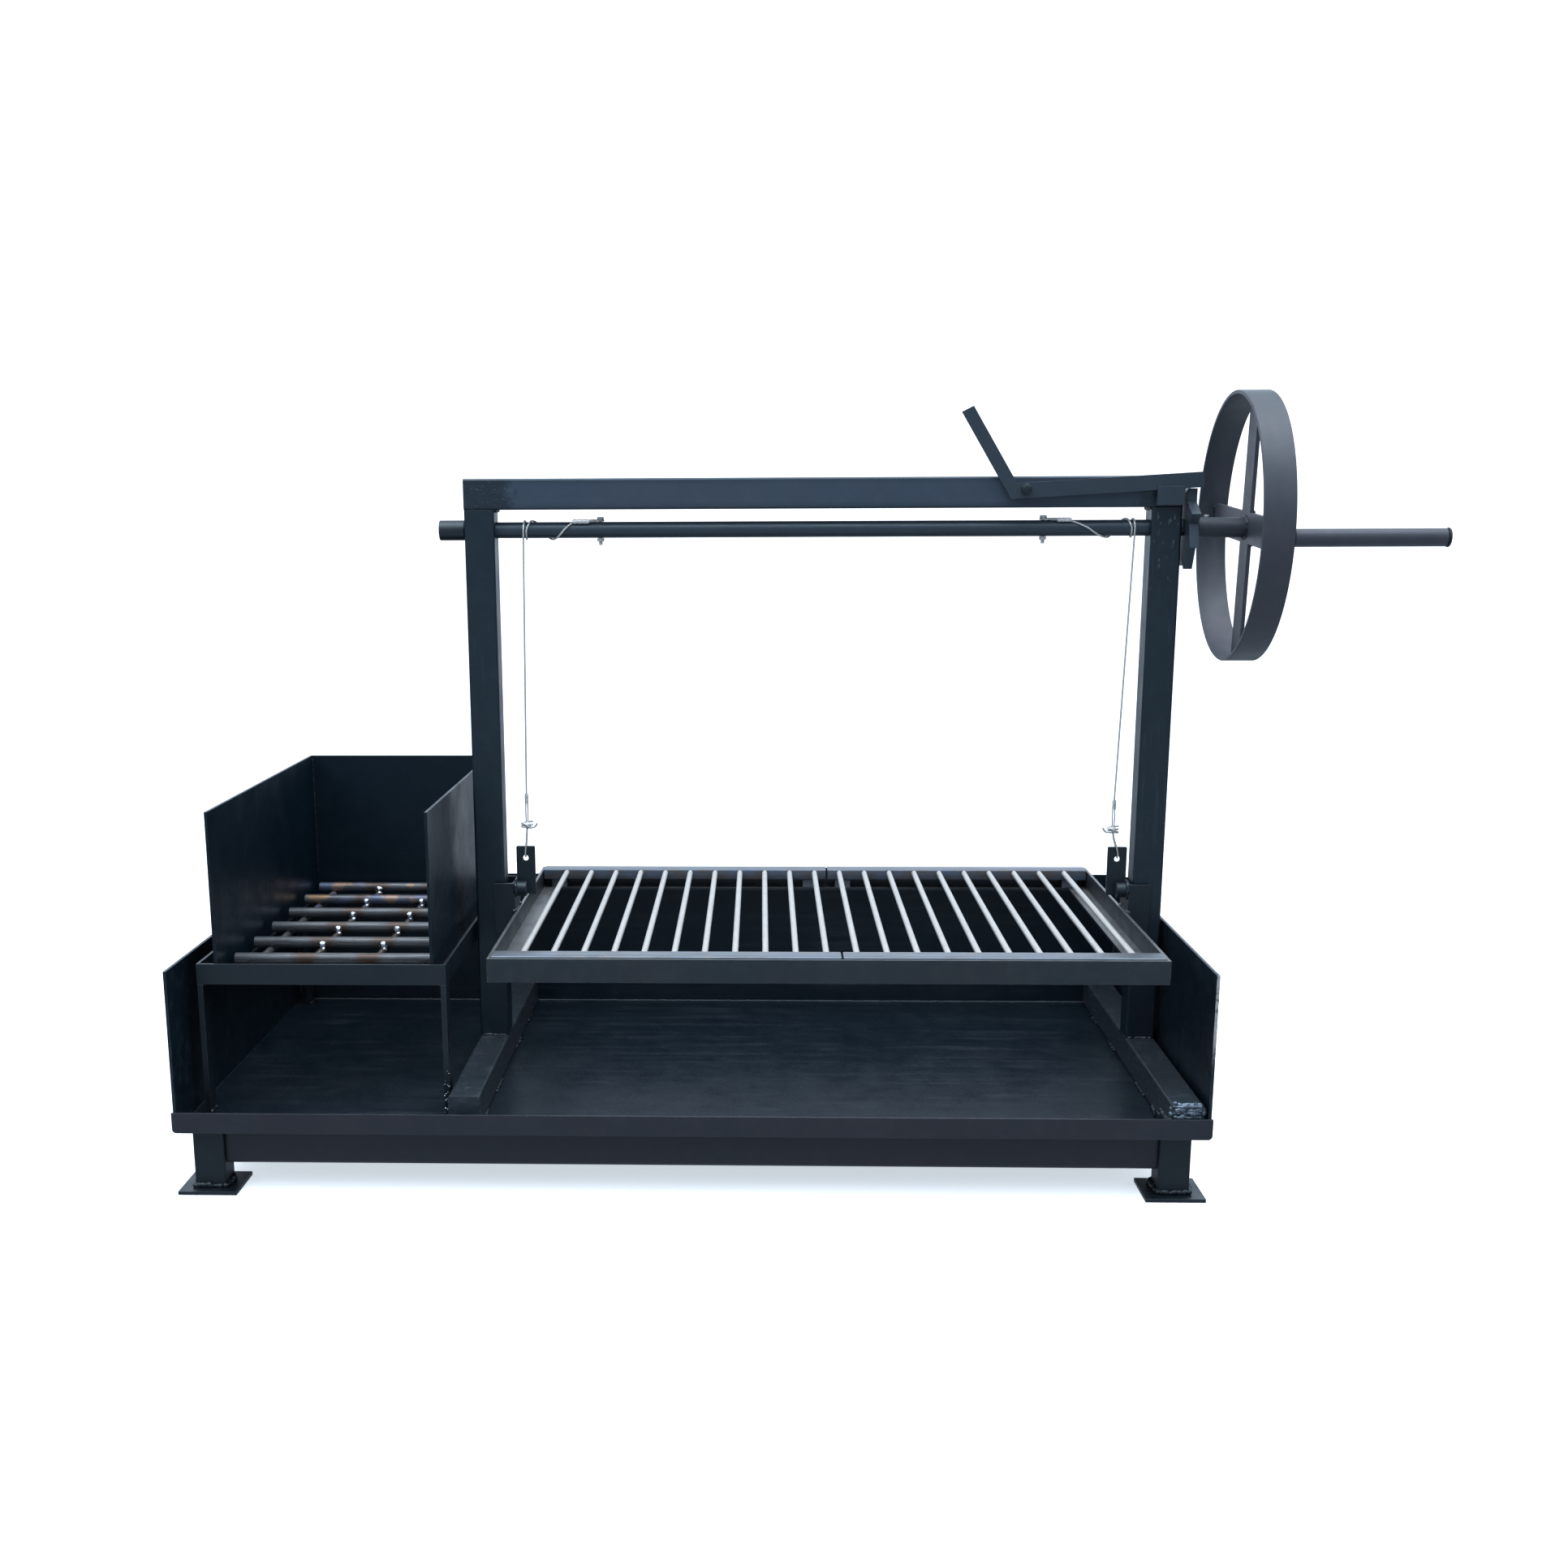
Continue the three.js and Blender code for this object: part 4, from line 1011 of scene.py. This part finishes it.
def build_firebox_welds():
    beads = Shell()
    stand_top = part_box("firebox_frame")[1].z
    wall_low, wall_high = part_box("firebox_wall_back")
    for x in (wall_low.x, wall_high.x):
        heights = (stand_top + 0.01, 0.49, wall_high.z - 0.006)
        bead(beads, [(x, wall_low.y, z) for z in heights], 0.0022, 250)
    across = (0.001, 0.015, 0.030)
    for side, sign in SIDES:
        for depth, _ in DEPTHS:
            leg_low, leg_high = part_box(f"firebox_leg_{depth}_{side}")
            inner = leg_high.x if sign < 0 else leg_low.x
            bead(beads, [(inner, leg_low.y + t, leg_high.z - 0.0003) for t in across], 0.0036, 260)
            bead(beads, [(inner, leg_low.y + t, leg_low.z + 0.001) for t in across], 0.0034, 262)
    beads.done("firebox_welds", "weld", "frame")
    spatter = Shell()
    draw = np.random.default_rng(7)
    leg_low, leg_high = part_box("firebox_leg_front_right")
    for k in range(26):
        z = leg_low.z + 0.004 + abs(draw.normal(0, 0.035))
        x = leg_low.x + draw.uniform(0.0005, leg_high.x - leg_low.x - 0.0005)
        r = draw.uniform(0.0006, 0.0015)
        blob(spatter, (x, leg_low.y - r * 0.3, z), (r, r * 0.7, r), 280 + k, rows=5, around=8)
    spatter.done("leg_spatter", "bright_weld", "frame")


# Camera, light and floor.
CAMERA_AT = (ORIGIN_X - 0.09967, -3.11199, 1.06715)
CAMERA_TURN = (76.92823, 0.23831, 1.82082)
CAMERA_LENS = 41.362
CAMERA_SHIFT = (0.05211, 0.09553)


def build_camera():
    data = bpy.data.cameras.new("camera")
    data.sensor_width = 36
    data.lens = CAMERA_LENS
    data.shift_x, data.shift_y = CAMERA_SHIFT
    data.clip_end = 5000
    camera = bpy.data.objects.new("camera", data)
    camera.location = CAMERA_AT
    camera.rotation_euler = [radians(a) for a in CAMERA_TURN]
    bpy.context.scene.collection.objects.link(camera)
    bpy.context.scene.camera = camera


def area_light(name, at, aim, width, height, power, colour):
    data = bpy.data.lights.new(name, "AREA")
    data.shape = "RECTANGLE"
    data.size, data.size_y = width, height
    data.energy = power
    data.color = colour
    light = bpy.data.objects.new(name, data)
    light.location = at
    light.rotation_euler = (Vector(aim) - Vector(at)).to_track_quat("-Z", "Y").to_euler()
    bpy.context.scene.collection.objects.link(light)


def build_world():
    """Bright overhead and behind the grill, dimmer on the near side and below, dark at the sides."""
    world = bpy.data.worlds.new("studio")
    world.use_nodes = True
    tree = world.node_tree
    nodes, links = tree.nodes, tree.links
    background = nodes["Background"]
    direction = nodes.new("ShaderNodeTexCoord").outputs["Generated"]

    def step(operation, a, b, clamp=False):
        made = nodes.new("ShaderNodeMath")
        made.operation = operation
        made.use_clamp = clamp
        for slot, value in enumerate((a, b)):
            if isinstance(value, bpy.types.NodeSocket):
                links.new(value, made.inputs[slot])
            else:
                made.inputs[slot].default_value = value
        return made.outputs[0]

    lean = nodes.new("ShaderNodeVectorMath")
    lean.operation = "DOT_PRODUCT"
    lean.inputs[1].default_value = (0.0, 0.75, 2.5)
    links.new(direction, lean.inputs[0])
    split = nodes.new("ShaderNodeSeparateXYZ")
    links.new(direction, split.inputs[0])
    above = step("ADD", lean.outputs["Value"], 0.12, clamp=True)
    near = step("SUBTRACT", step("MULTIPLY", split.outputs["Y"], -1.1), 0.2, clamp=True)
    below = step("MULTIPLY", step("SUBTRACT", -0.2, split.outputs["Z"]), 2.6, clamp=True)
    ramp = nodes.new("ShaderNodeValToRGB")
    low = step("MAXIMUM", step("MULTIPLY", below, 0.55), step("MULTIPLY", near, 0.42))
    links.new(step("MAXIMUM", above, low), ramp.inputs[0])
    stops = ramp.color_ramp.elements
    stops[0].position, stops[0].color = 0.0, (0.010, 0.018, 0.030, 1)
    stops[1].position, stops[1].color = 1.0, (0.80, 0.92, 1.08, 1)
    links.new(ramp.outputs[0], background.inputs["Color"])
    background.inputs["Strength"].default_value = 1.15
    bpy.context.scene.world = world


def scenery(name, verts, faces, material, unseen_by):
    """Adds a stage piece that some kinds of ray pass straight through."""
    mesh = bpy.data.meshes.new(name)
    mesh.from_pydata(verts, [], faces)
    mesh.materials.append(material)
    obj = bpy.data.objects.new(name, mesh)
    for kind in unseen_by:
        setattr(obj, f"visible_{kind}", False)
    bpy.context.scene.collection.objects.link(obj)


def build_floor():
    look = Look("pale_floor")
    grain = look.noise(30, 3.0)
    colour = look.mix(look.fade(grain, 0.3, 0.7), (0.90, 0.92, 0.96), (0.94, 0.95, 0.97))
    look.bump([(grain, 0.0002)])
    material = look.surface(
        Base_Color=colour, Roughness=0.9, Metallic=0.0, Emission_Color=(0.86, 0.94, 1.0),
        Emission_Strength=0.66)
    r = 90.0
    corners = [(-r, -r, 0), (r, -r, 0), (r, r, 0), (-r, r, 0)]
    scenery("floor", corners, [(0, 1, 2, 3)], material, ("glossy", "diffuse"))


def build_backdrop():
    """White dome far behind everything; only the camera meets it, so it adds no light."""
    look = Look("backdrop")
    haze = look.mix(look.noise(0.05, 2.0), (0.98, 0.99, 1.0), (1.0, 1.0, 1.0))
    material = look.surface(
        Base_Color=haze, Roughness=1.0, Metallic=0.0, Emission_Color=(1.0, 1.0, 1.0), Emission_Strength=1.0)
    radius, rings, around = 80.0, 12, 48
    shell, levels = Shell(), []
    for a in np.linspace(0, radians(89), rings):
        wide, up = radius * cos(a), radius * sin(a) - 1.0
        levels.append([(wide * cos(b), wide * sin(b), up) for b in angles_round(around)])
    shell.rings(levels, caps=False)
    scenery("backdrop", shell.verts, shell.faces, material, ("diffuse", "glossy", "shadow"))


def build_lights():
    area_light("overhead", (0.3, -0.6, 4.2), (0, 0, 0.5), 4.5, 3.5, 190, (0.88, 0.95, 1.0))
    area_light("left_high", (-3.0, -1.6, 3.0), (-0.3, 0, 0.6), 1.6, 1.6, 45, (0.86, 0.93, 1.0))


dress_cad()
build_camera()
build_world()
build_floor()
build_backdrop()
build_lights()
build_shaft()
build_wheel()
build_handle()
build_ratchet_details()
build_anchor_bolts()
build_pivot_bolt()
for side_name, side_sign in SIDES:
    build_hanging_cable(side_name)
    build_coil(side_name, side_sign)
    build_knot(side_name, side_sign)
build_panel("left", FIRST_ROD, LEFT_RODS)
build_panel("right", FIRST_ROD + LEFT_RODS * ROD_PITCH, RIGHT_RODS)
build_boss()
build_carriage_welds()
build_frame_welds()
build_tray_seams()
build_bright_arm_end()
build_fire_grate()
build_firebox_welds()
bpy.context.scene.view_settings.view_transform = "Standard"
